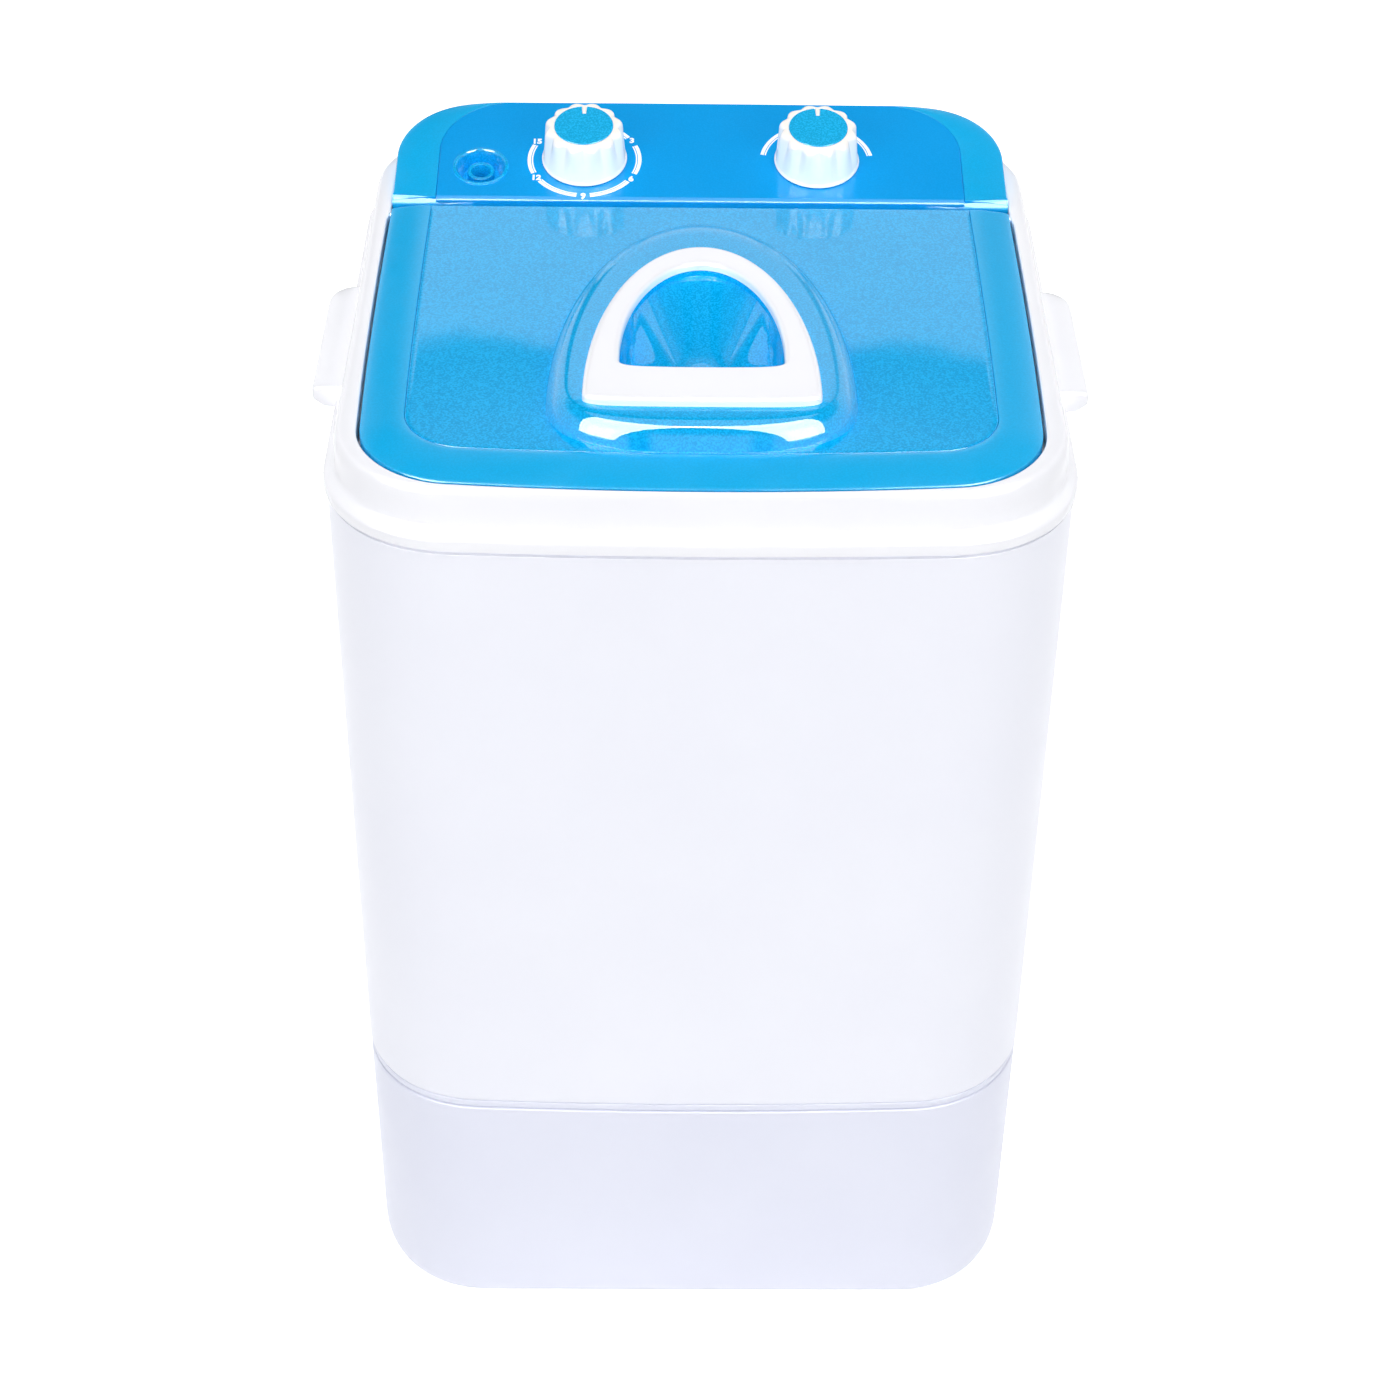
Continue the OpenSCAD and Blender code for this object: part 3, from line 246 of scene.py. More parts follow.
# plain inner mouldings: grained and dull
SWITCH_GREY = satin_plastic("switch_pale_nylon", "#D6D5CC", "#C9C8BE", 0.55)
PIPE_GREY = satin_plastic("pipe_grey_pvc", "#B4B9C2", "#A5ABB5", 0.45, 2.0)
DARK_PLASTIC = satin_plastic("dark_filled_nylon", "#2A2B2E", "#202124", 0.55)
FOOT_RUBBER = rubber("foot_rubber", "#2B2B2D", "#38383B")
BLACK_RUBBER = rubber("black_rubber", "#161617", "#232325")
# metals: plated and painted steel, stacked sheets, lathe rings, cast and drawn aluminium
ZINC = bare_metal("zinc_plated_steel", "#C3C6CC", "#AEB3BC", 0.36, 1.5)
SHEET = satin_plastic("painted_sheet_steel", "#9AA0AA", "#8D949F", 0.42, 2.5)
STACK = bare_metal("varnished_laminations", "#7B8290", "#5C636F", 0.45, 1.6, (0.05, 0.05, 1.6))
TURNED = bare_metal("turned_steel", "#B7BAC0", "#9EA2AA", 0.36, 1.2, (0.1, 0.1, 2.0))
CAST = bare_metal("cast_aluminium", "#BFC3C9", "#A5AAB2", 0.48, 2.2)
BRONZE = bare_metal("sintered_bronze", "#B98F52", "#9A7440", 0.5, 1.0)
CAN = bare_metal("drawn_aluminium", "#D4D7DC", "#BEC2C9", 0.36, 2.0, (1, 1, 0.05))

MATERIAL_OF = {
    "cabinet_plastic": CABINET_WHITE, "white_plastic": RIM_WHITE, "teal_plastic": BORDER_TURQUOISE,
    "blue_plastic": LID_BLUE, "blue_facing": FACING_BLUE, "teal_cap": CAP_TURQUOISE,
    "white_print": PRINT_WHITE, "tub_plastic": TUB_WHITE, "pulsator_plastic": PULSATOR_BLUE,
    "switch_plastic": SWITCH_GREY, "pipe_plastic": PIPE_GREY, "dark_plastic": DARK_PLASTIC,
    "foot_rubber": FOOT_RUBBER, "seal_rubber": BLACK_RUBBER, "zinc_steel": ZINC,
    "sheet_steel": SHEET, "lamination_steel": STACK, "rotor_steel": TURNED, "cast_alloy": CAST,
    "bush_bronze": BRONZE, "capacitor_can": CAN,
}
SLOT_OF = {row["node"]: row["material_slot"] for row in frame["record"]["subparts"]}
for node, made in NODES.items():
    made.data.materials.clear()
    made.data.materials.append(MATERIAL_OF[SLOT_OF[node]])

# ---------------------------------------------------------------- outlines and lofts

BOW = 1.85                 # how far the front and back bow outwards over their middle 200 mm
LID_BOW = 9.0 / 172        # the same for the lid's front edge, as a share of its distance
LID_DRAW = 4.4             # how far each side of the lid draws in at the front
WHOLE_TURN = 2 * math.pi


def arc(cx, cy, radius, start, end, steps):
    """Points of an arc, the first one left out."""
    a = np.radians(np.linspace(start, end, steps + 1)[1:])
    return np.column_stack([cx + radius * np.cos(a), cy + radius * np.sin(a)])


def straight(start, end, steps):
    """Points of a line, the first one left out."""
    t = np.linspace(0, 1, steps + 1)[1:, None]
    return np.asarray(start) * (1 - t) + np.asarray(end) * t


def rounded(half_w, half_d, radius, cy=0.0, turn=18, run=12):
    """A rounded rectangle, always in the same order and number of points."""
    w, d = half_w - radius, half_d - radius
    corners = ((w, d), (-w, d), (-w, -d), (w, -d))
    parts = []
    for k, (x, y) in enumerate(corners):
        parts.append(arc(x, y, radius, 90 * k, 90 * k + 90, turn))
        a = math.radians(90 * k + 90)
        edge = np.array([math.cos(a), math.sin(a)]) * radius
        parts.append(straight(corners[k] + edge, corners[(k + 1) % 4] + edge, run))
    return np.vstack(parts) + [0, cy]


def swelled(flat, amount=BOW):
    """Front and back bow outwards; the box stays."""
    across = np.minimum(np.abs(flat[:, 0]), 130) / 100
    return flat * np.column_stack([np.ones(len(flat)), 1 - amount * across * across / cab_hi[1]])


def lid_bowed(flat):
    """The lid's sides draw in towards the front and its front edge bows outwards."""
    x, y = flat[:, 0], flat[:, 1]
    ahead = np.clip((HINGE_Y - y) / (HINGE_Y - LID_Y0), 0, 1)
    front = np.where(y < 0, 1 - LID_BOW * (x / LID_W) ** 2, 1.0)
    return np.column_stack([x * (1 - LID_DRAW / LID_W * ahead ** 3), y * front])


def handle_outline(cy, a, rear, front, power):
    """Outline of the handle pieces: an ellipse at the rear, squarer at the front."""
    t = np.linspace(0, WHOLE_TURN, 720, endpoint=False)
    c, s = np.cos(t), np.sin(t)
    p = np.where(s >= 0, 1.0, 2 / power)
    return np.column_stack([a * np.sign(c) * np.abs(c) ** p,
                            cy + np.where(s >= 0, rear, front) * np.sign(s) * np.abs(s) ** p])


def angles_of(outline, centre):
    return np.arctan2(outline[:, 1] - centre[1], outline[:, 0] - centre[0])


def seen_from(outline, centre, angles):
    """The outline's points in those directions from the centre, so that outlines can be lofted."""
    closed = np.vstack([outline, outline[:1]])
    steps = np.linalg.norm(np.diff(closed, axis=0), axis=1)
    length = np.concatenate([[0], np.cumsum(steps)])
    fine = np.linspace(0, length[-1], 8000, endpoint=False)
    x = np.interp(fine, length, closed[:, 0]) - centre[0]
    y = np.interp(fine, length, closed[:, 1]) - centre[1]
    angle, far = np.arctan2(y, x), np.hypot(x, y)
    order = np.argsort(angle)
    far = np.interp(angles, angle[order], far[order], period=WHOLE_TURN)
    return np.column_stack([centre[0] + far * np.cos(angles), centre[1] + far * np.sin(angles)])


def toward(outer, inner, distance):
    """Each point of the outer outline, moved this far towards its partner on the inner one."""
    gap = inner - outer
    size = np.maximum(np.linalg.norm(gap, axis=1, keepdims=True), 1e-6)
    return outer + gap / size * distance


def at(flat, z):
    """Gives a flat outline its height: one number, or one for each point."""
    return np.column_stack([flat, np.broadcast_to(z, len(flat))])


def rise(start, *rows):
    """Points of a profile, (reach, height), whose heights are counted from this one."""
    return [(reach, start + up) for reach, up in rows]


def circle(radius, theta):
    """The point, or the points, of a circle or a lobed outline at those angles."""
    return np.column_stack([radius * np.cos(theta), radius * np.sin(theta)])


def loft(rings, ends="closed", around=True):
    """Faces between rings of equal length. The ends are closed to their middles, left open, or
    joined to each other in a loop."""
    n, count = len(rings[0]), len(rings)
    verts, faces = np.vstack(rings), []
    for k in range(count if ends == "loop" else count - 1):
        a, b = k * n, (k + 1) % count * n
        faces += [(a + i, a + (i + 1) % n, b + (i + 1) % n, b + i)
                  for i in range(n if around else n - 1)]
    if ends == "closed":
        for k in (0, count - 1):
            faces += [(k * n + i, k * n + (i + 1) % n, len(verts)) for i in range(n)]
            verts = np.vstack([verts, rings[k].mean(axis=0)])
    return verts, faces


def joined(*shapes):
    verts, faces, shift = [], [], 0
    for v, f in shapes:
        verts.append(np.asarray(v, float))
        faces += [tuple(i + shift for i in face) for face in f]
        shift += len(v)
    return np.vstack(verts), faces


def lathe(profile, steps=96, ends="open"):
    """Points (radius, height) turned about Z; an open profile starts and ends on the axis."""
    a = np.linspace(0, WHOLE_TURN, steps, endpoint=False)
    return loft([at(circle(r, a), z) for r, z in profile], ends)


def moved(shape, turn=None, to=(0, 0, 0)):
    verts, faces = shape
    verts = np.asarray(verts, float)
    if turn is not None:
        verts = verts @ np.array(turn.to_3x3()).T
    return verts + np.asarray(to), faces


def block(lo, hi):
    """A box, only ever used to cut an opening."""
    (x0, y0, z0), (x1, y1, z1) = lo, hi
    ring = np.array([(x0, y0), (x1, y0), (x1, y1), (x0, y1)])
    return loft([at(ring, z) for z in (z0, z1)])


# ---------------------------------------------------------------- making and giving the pieces


def link(obj):
    bpy.context.scene.collection.objects.link(obj)
    return obj


def object_of(name, shape):
    mesh = bpy.data.meshes.new(name)
    mesh.from_pydata([tuple(v) for v in np.asarray(shape[0]) * MM], [], shape[1])
    work = bmesh.new()
    work.from_mesh(mesh)
    bmesh.ops.remove_doubles(work, verts=work.verts, dist=3e-6)
    bmesh.ops.dissolve_degenerate(work, edges=work.edges, dist=1e-6)
    bmesh.ops.recalc_face_normals(work, faces=work.faces)
    work.to_mesh(mesh)
    work.free()
    return link(bpy.data.objects.new(name, mesh))


def baked(obj):
    """The object's evaluated shape as a plain mesh of its own, under the same name."""
    graph = bpy.context.evaluated_depsgraph_get()
    mesh = bpy.data.meshes.new_from_object(obj.evaluated_get(graph))
    name = obj.name
    bpy.data.objects.remove(obj)
    return link(bpy.data.objects.new(name, mesh))


def bored(obj, *cutters):
    """Cuts the closed cutter shapes out of a closed piece."""
    tool = object_of("cutter", joined(*cutters))
    cut = obj.modifiers.new("cut", "BOOLEAN")
    cut.operation, cut.solver, cut.object = "DIFFERENCE", "EXACT", tool
    cut.use_self = True
    made = baked(obj)
    bpy.data.objects.remove(tool)
    return made


def eased(obj, edge, sharp=30, segments=2):
    """Rounds the sharp edges by this many millimetres."""
    bevel = obj.modifiers.new("edge", "BEVEL")
    bevel.width, bevel.segments, bevel.limit_method = edge * MM, segments, "ANGLE"
    bevel.angle_limit = math.radians(sharp)
    return baked(obj)


def given(obj, *nodes, like=None, material=None, sharp=32):
    """Smooth faces with crisp edges; the piece then rides and is finished as its CAD node is."""
    home = like or nodes[0]
    obj.data.materials.clear()
    obj.data.materials.append(material or MATERIAL_OF[SLOT_OF[home]])
    obj.data.shade_smooth()
    obj.data.set_sharp_from_angle(angle=math.radians(sharp))
    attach(obj, NODES[home]["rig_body"])
    if nodes:
        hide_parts(*nodes)
    return obj


def copied(node, edge):
    """A copy of a CAD node with its facets merged and its edges rounded, given in its place."""
    mesh = NODES[node].data.copy()
    work = bmesh.new()
    work.from_mesh(mesh)
    bmesh.ops.remove_doubles(work, verts=work.verts, dist=5e-6)
    bmesh.ops.dissolve_limit(work, angle_limit=math.radians(1.0), verts=work.verts,
                             edges=work.edges)
    work.to_mesh(mesh)
    work.free()
    obj = link(bpy.data.objects.new(node + "_finished", mesh))
    return given(eased(obj, edge), node, sharp=30)


# ---------------------------------------------------------------- repeats, by Geometry Nodes


def repeat_tree():
    """Copies of one modelled template on a mesh's points, each turned by the point's own turn."""
    tree = bpy.data.node_groups.new("repeat_on_points", "GeometryNodeTree")
    sockets = tree.interface
    sockets.new_socket("Geometry", in_out="INPUT", socket_type="NodeSocketGeometry")
    for label, kind in (("Template", "NodeSocketObject"), ("Size", "NodeSocketFloat"),
                        ("Finish", "NodeSocketMaterial")):
        sockets.new_socket(label, in_out="INPUT", socket_type=kind)
    sockets.new_socket("Geometry", in_out="OUTPUT", socket_type="NodeSocketGeometry")
    start, end = add(tree, "NodeGroupInput"), add(tree, "NodeGroupOutput")
    template = add(tree, "GeometryNodeObjectInfo", Object=start.outputs["Template"])
    turn = add(tree, "GeometryNodeInputNamedAttribute", {"data_type": "FLOAT_VECTOR"}, Name="turn")
    angles = add(tree, "FunctionNodeEulerToRotation", Euler=turn.outputs["Attribute"])
    copies = add(tree, "GeometryNodeInstanceOnPoints", Points=start.outputs["Geometry"],
                 Instance=template.outputs["Geometry"], Rotation=angles.outputs["Rotation"],
                 Scale=start.outputs["Size"])
    real = add(tree, "GeometryNodeRealizeInstances", Geometry=copies.outputs["Instances"])
    dressed = add(tree, "GeometryNodeSetMaterial", Geometry=real.outputs["Geometry"],
                  Material=start.outputs["Finish"])
    tree.links.new(dressed.outputs["Geometry"], end.inputs["Geometry"])
    return tree


REPEAT = repeat_tree()


def repeated(name, template, spots, turns, material, size=1.0):
    """One mesh of the template at every spot in mm, turned by its degrees; one turn may serve
    them all."""
    mould = object_of(name + "_mould", template)
    points = bpy.data.meshes.new(name)
    points.from_pydata([tuple(np.asarray(p, float) * MM) for p in spots], [], [])
    turn = points.attributes.new("turn", "FLOAT_VECTOR", "POINT")
    for row, angles in zip(turn.data, np.broadcast_to(turns, (len(spots), 3))):
        row.vector = [math.radians(a) for a in angles]
    obj = link(bpy.data.objects.new(name, points))
    nodes = obj.modifiers.new("repeat", "NODES")
    nodes.node_group = REPEAT
    keys = {i.name: i.identifier for i in REPEAT.interface.items_tree if i.in_out == "INPUT"}
    nodes[keys["Template"]], nodes[keys["Size"]], nodes[keys["Finish"]] = mould, size, material
    made = baked(obj)
    bpy.data.objects.remove(mould)
    return made


# ---------------------------------------------------------------- base

BASE_W, BASE_D, BASE_R = base_hi[0], base_hi[1], CORNER - 1.2
BASE_DRAW, CABINET_DRAW = 1.4, 0.9    # how far the walls draw in at their feet
SEAM_Z = cab_lo[2] - 6
MOTOR_Y = (motor_lo[1] + motor_hi[1]) / 2
REAR = (150, 200)                     # the cutters of the rear wall reach over these
VENTS, VENT_PITCH, VENT_HALF = 9, 14, 3


def base_shape():
    """The base: its foot curls under, and two grooves with a band between them mark the seam."""
    floor, t = base_lo[2], WALL
    profile = rise(floor, (-13, 3), (-8, 3.6), (-4.6, 6.2), (-t, 10.5), (-t, 60))
    profile += rise(SEAM_Z, (-t, -8), (-4.6, -2), (-4.6, 14.7), (-2.2, 14.7), (-2.0, 14.4),
                    (-2.0, 6), (-2.3, 5.2), (-0.8, 5.0), (-0.3, 4.7), (-0.15, 4.2), (-0.15, 1.8),
                    (-0.3, 1.2), (-0.8, 0.9), (-2.4, 0.7), (-2.4, -0.5), (-0.8, -0.7),
                    (-0.3, -1.0), (-0.05, -1.6), (0, -6), (0, -25), (0, -60))
    profile += rise(floor, (0, 40), (0, 20), (-0.2, 13), (-0.9, 8.6), (-2.1, 5.2), (-3.9, 2.6),
                    (-6.2, 0.9), (-9, 0.1), (-13, 0))
    rings = []
    for e, z in profile:
        up = (z - floor) / (SEAM_Z - floor)
        draw = BASE_DRAW * max(0.0, 1 - up)
        flat = rounded(BASE_W + e - draw, BASE_D + e - draw, BASE_R + e - draw)
        rings.append(at(swelled(flat, BOW * min(1.0, max(up, 0.1))), z))
    return loft(rings)


def round_hole(x, z, radius):
    """A cutter through the rear wall."""
    y0, y1 = REAR
    shape = lathe([(0, 0), (radius, 0), (radius, y1 - y0), (0, y1 - y0)], 48)
    return moved(shape, Matrix.Rotation(math.radians(-90), 4, "X"), (x, y0, z))


window = block((cover_lo[0] + 6, REAR[0], cover_lo[2] + 13),
               (cover_hi[0] - 6, REAR[1], cover_hi[2] - 13))
vents = [block((i * VENT_PITCH - VENT_HALF, MOTOR_Y - 50, 0),
               (i * VENT_PITCH + VENT_HALF, MOTOR_Y + 40, 12))
         for i in range(-(VENTS // 2), VENTS // 2 + 1)]
base = bored(object_of("base_shell", base_shape()), window, *vents,
             round_hole(drain_hi[0] - 10, drain_lo[2] + 10, 10.4),
             round_hole(gland_hi[0] - 11, gland_hi[2] - 11, 8.1))
given(base, "base_housing", material=BASE_WHITE)

# ---------------------------------------------------------------- cabinet


def cabinet_shape():
    """The cabinet wall; its top edge is rebated, a dark groove under the top frame's flange."""
    z0, z1, t = cab_lo[2], cab_hi[2], WALL
    profile = rise(z0, (-0.9, 0), (-0.3, 0.25), (0, 0.9))
    profile += [(0, z) for z in np.linspace(z0 + 4, z1 - 4, 14)]
    profile += rise(z1, (0, -1.4), (-0.1, -1.3), (-2.1, -1.25), (-2.1, 0), (-t + 0.1, 0),
                    (-t, -0.4))
    profile += [(-t, z) for z in np.linspace(z1 - 6, z0 + 6, 8)]
    profile += rise(z0, (-t, 0.3), (-t + 0.3, 0))
    rings = []
    for e, z in profile:
        draw = CABINET_DRAW * (1 - (z - z0) / (z1 - z0))
        flat = rounded(cab_hi[0] + e - draw, cab_hi[1] + e - draw, CORNER + e - draw)
        rings.append(at(swelled(flat), z))
    return loft(rings, "loop")


given(object_of("cabinet_wall", cabinet_shape()), "cabinet_shell")

# ---------------------------------------------------------------- top frame

WELL_GAP, WELL_R = 1.6, 44.0          # clearance and corner radius of the well round the lid
PIN_COVER = 0.35                      # clearance beside the panel, which hides the hinge pins
SHELF_Z, SHELF_T = Z_RIM - 14.5, 3
FLANGE = frame_hi[1] - cab_hi[1]
TUB_CY = (tub_lo[1] + tub_hi[1]) / 2
MOUTH_W, MOUTH_D, MOUTH_R = tub_hi[0] - 12, (tub_hi[1] - tub_lo[1]) / 2 - 12, 107.0


def well_edge(grow=0.0):
    """Inner edge of the rim: it follows the lid, and lies close round the panel."""
    reach = WELL_GAP + grow
    flat = lid_bowed(rounded(LID_W + reach, reach - LID_Y0, WELL_R + grow, run=48))
    close = np.clip((flat[:, 1] - HINGE_Y + 9) / 6, 0, 1) * (WELL_GAP - PIN_COVER)
    flat[:, 0] -= np.sign(flat[:, 0]) * close
    flat[:, 1] -= np.where(flat[:, 1] > PANEL_Y0, close, 0)
    return flat


def rim_shape():
    """The white rim: skirt, flange, sloped shoulder, upright wall, and the roll into the well."""
    f = FLANGE

    def around(e):
        return swelled(rounded(cab_hi[0] + e, cab_hi[1] + e, CORNER + e, run=48))

    rings = [at(around(e), h) for e, h in rise(
        FLANGE_Z, (-6, 3.4), (-6, -13.6), (-5.6, -14), (-3.6, -14), (-3.2, -13.6), (-3.2, 0),
        (-3.2, 1.05), (-3.1, 1.2), (-1.5, 1.2), (f - 0.5, 1.2), (f - 0.12, 1.35), (f, 1.8),
        (f, 6.1), (f - 0.12, 6.8), (f - 0.6, 7.6), (-0.3, 8.5), (-1.6, 9.4), (-2.9, 10.4),
        (-3.7, 11.3), (-4.2, 12.3), (-4.4, 13.8), (-4.45, 18)) + rise(Z_RIM, (-4.5, -10.5))]
    wall, edge = around(-4.5), well_edge()
    room = np.linalg.norm(edge - wall, axis=1, keepdims=True)
    for d, h in rise(Z_RIM, (0.05, -8.2), (0.2, -6.2), (0.5, -4.4), (0.95, -2.9), (1.55, -1.7),
                     (2.3, -0.8), (3.1, -0.25), (4.0, -0.03)):
        rings.append(at(wall + (edge - wall) * np.minimum(d, 0.8 * room * d / 4.0) / room, h))
    for back, h in rise(Z_RIM, (0.12, 0), (0.06, -0.1), (0.015, -0.45), (0, -1.1), (0, -4)) \
            + rise(SHELF_Z, (0, 0), (0, -SHELF_T)):
        rings.append(at(edge + (wall - edge) * back, h))
    rings += [at(around(e), h) for e, h in rise(SHELF_Z, (-6.4, -SHELF_T)) + rise(
        FLANGE_Z, (-6.4, 11.6), (-6, 10.6), (-3.6, 8.4), (f - 2.6, 6.2), (f - 2.6, 3.6),
        (-5.8, 3.6))]
    return loft(rings, "loop")


def shelf_shape():
    """The floor of the well, with the round cornered mouth of the tub."""
    centre = (0, TUB_CY)
    edge = well_edge(0.6)
    edge[:, 1] = np.minimum(edge[:, 1], PANEL_Y0 + 4)
    mouth = rounded(MOUTH_W, MOUTH_D, MOUTH_R, TUB_CY, 40, 10)
    edge = seen_from(edge, centre, angles_of(mouth, centre))
    rings = [at(edge, SHELF_Z - SHELF_T), at(edge, SHELF_Z)]
    rings += [at(toward(mouth, edge, d), SHELF_Z - drop) for d, drop in
              ((3.2, 0), (1.4, 0.25), (0.5, 0.8), (0, 1.6), (0, 2.6), (0.4, SHELF_T))]
    return loft(rings, "loop")


GRIP_Y0, GRIP_Y1 = -60.0, 40.0


def grip_shape(side):
    """One side grip: a hooded lug whose rear end runs into the frame."""
    root, out = cab_hi[0] - 4.7, frame_hi[0]
    low, high = FLANGE_Z + 1.4, FLANGE_Z + 13.4
    rings = []
    # distance from the front end, reach, drop of the top, lift of the outer edge
    for along, reach, drop, lift in (
            (0, 0.9, 1.2, 0.5), (0.4, 0.96, 0.5, 0.3), (1.4, 1, 0.1, 0), (3, 1, 0, 0),
            (35, 1, 0, 0), (65, 1, 0.2, 0), (81, 1, 0.3, 0), (86, 0.99, 0.4, 0),
            (90, 0.93, 0.5, 0), (94, 0.8, 0.8, 0), (97, 0.6, 1.1, 0), (99, 0.36, 1.5, 0),
            (100, 0.1, 2.1, 0)):
        y, top, x = GRIP_Y0 + along, high - drop, root + 3 + (out - root - 3) * reach
        section = [(root, low), (root + 5, low + 0.1), (max(root + 5.5, x - 4.8), low + 0.6 + lift),
                   (x - 1.2, low + 3.4 + lift), (x - 0.3, low + 4.4 + lift), (x, low + 5.6 + lift),
                   (x, top - 2.2), (x - 0.5, top - 0.8), (x - 1.8, top - 0.1), (root + 5, top),
                   (root, top)]
        rings.append(np.array([(x, y, z) for x, z in section]))
    verts, faces = loft(rings)
    verts[:, 0] *= side
    return verts, faces


given(object_of("top_rim", joined(rim_shape(), shelf_shape())), "top_frame", sharp=40)
for side, name in ((-1, "side_grip_left"), (1, "side_grip_right")):
    inner, outer = sorted((side * (frame_hi[0] - 11.4), side * (frame_hi[0] - WALL)))
    finger_room = block((inner, GRIP_Y0 + 3, FLANGE_Z - 20),
                        (outer, GRIP_Y1 - 11, FLANGE_Z + 10.7))
    given(bored(object_of(name, grip_shape(side)), finger_room), like="top_frame", sharp=40)

# ---------------------------------------------------------------- lid

LID_R = 43.0
FIELD_W, FIELD_Y0, FIELD_R = field_hi[0], field_lo[1], 28.0
FIELD_Z = Z_LID - 0.1
LID_C = (0.0, -60.0)                  # the rings of the field are lofted about this point
MOUND_EDGE_Y, MOUND_TOP_Z = LID_Y0 + 37, Z_LID + 12.5
MOUND_FALL = math.tan(math.radians(2.5))
MOUND_Y, MOUND_REAR = LID_Y0 + 72.6, 168.5
SKIN = 3.4                            # thickness of the mound's top
EYE_Y, RING_Y = LID_Y0 + 92.6, LID_Y0 + 50
POCKET_Z, POCKET_Y = Z_LID - 9, -78.0


def mound_z(flat):
    return MOUND_TOP_Z - MOUND_FALL * (flat[:, 1] - MOUND_EDGE_Y)


def lid_path(half_w, y_front, radius, side=48, turn=22, across=72):
    """From the rear right corner down the side, round the front and up to the rear left corner."""
    w, y = half_w - radius, y_front + radius
    return np.vstack([
        [(half_w, HINGE_Y)], straight((half_w, HINGE_Y), (half_w, y), side),
        arc(w, y, radius, 0, -90, turn), straight((w, y_front), (-w, y_front), across),
        arc(-w, y, radius, 270, 180, turn), straight((-half_w, y), (-half_w, HINGE_Y), side)])


OUTER_PATH = lid_bowed(lid_path(LID_W, LID_Y0, LID_R))
FIELD_PATH = lid_bowed(lid_path(FIELD_W, FIELD_Y0, FIELD_R))
BORDER_W = 21.5
# droop of the lid border: millimetres in from its edge, and below the lid top
BORDER = [(0, 4.2), (0.06, 2.7), (0.35, 2.2), (1.0, 1.98), (2.6, 1.66), (6, 1.15), (10, 0.62),
          (14, 0.24), (17, 0.06), (19, 0.0), (20.6, 0.0), (21.1, 0.12), (21.35, 0.45)]


def border_shape():
    """The coloured border: a U round the field, with its skirt; its rear ends are rolled."""
    inward = (FIELD_PATH - OUTER_PATH) / BORDER_W
    rows = rise(Z_LID - 14, (2.6, 0.3), (2.3, 0), (0.3, 0), (0, 0.3)) + rise(Z_LID, (0, -8))
    rows += [(e, Z_LID - drop) for e, drop in BORDER]
    rows += rise(Z_LID, (21.35, -3.6), (20.8, -4.2), (12, -4.4), (4, -5.4), (2.9, -6.4), (2.6, -8))
    verts, faces = loft([at(OUTER_PATH + inward * e, z) for e, z in rows], "loop", around=False)
    n = len(OUTER_PATH)
    faces += [tuple(k * n + end for k in range(len(rows))) for end in (0, n - 1)]
    return verts, faces


def rolled_end(side):
    """One end of the rear edge, a barrel about the hinge line that thins as the border droops."""
    barrel = [(21.4, 0.0), (21.4, ROLL_R - 0.5), (21.1, ROLL_R - 0.12), (20.6, ROLL_R)]
    barrel += [(e, ROLL_R - drop) for e, drop in reversed(BORDER[:-3])] + [(0, 0.0)]
    shape = lathe([(r, LID_W - e) for e, r in barrel], 48)
    turn = Matrix.Rotation(math.radians(90 * side), 4, "Y")
    return moved(shape, turn, (0, HINGE_Y, HINGE_Z))


# the field's outline is its path closed along the rear edge
FIELD = np.vstack([FIELD_PATH, straight(FIELD_PATH[-1], FIELD_PATH[0], 96)[:-1]])
RAYS = angles_of(FIELD, LID_C)
REAR_ROW = np.arange(len(FIELD)) >= len(FIELD_PATH)
REAR_ROW[[0, len(FIELD_PATH) - 1]] = True
MOUND_FOOT = handle_outline(MOUND_Y, 75, MOUND_REAR, 45, 2.9)
MOUND_TOP = handle_outline(MOUND_Y, 64, MOUND_REAR - 21, 34, 3.2)
EYE = handle_outline(EYE_Y, 40, 91, 13, 6)
# the flank of the mound: share of the way in, share of the way up
FLANK = [(0, 0), (0.015, 0.045), (0.045, 0.13), (0.09, 0.245), (0.15, 0.375), (0.22, 0.5),
         (0.3, 0.615), (0.4, 0.73), (0.5, 0.82), (0.62, 0.9), (0.75, 0.955), (0.88, 0.985), (1, 1)]
# the field's edge from below, ring by ring: share of the way in, drop
FIELD_EDGE = [(1.0, 3.2)] * 8 + [(0.5, 3.2), (0.05, 3.0)] + [(0.0, 2.4)] * 6 + [(0.0, 0.9)] * 5 \
    + [(0.0, 0.35), (0.08, 0.18), (0.2, 0.08), (0.35, 0.02), (0.5, 0.0), (0.5, 0.0)]
ROLL_START = math.radians(302)


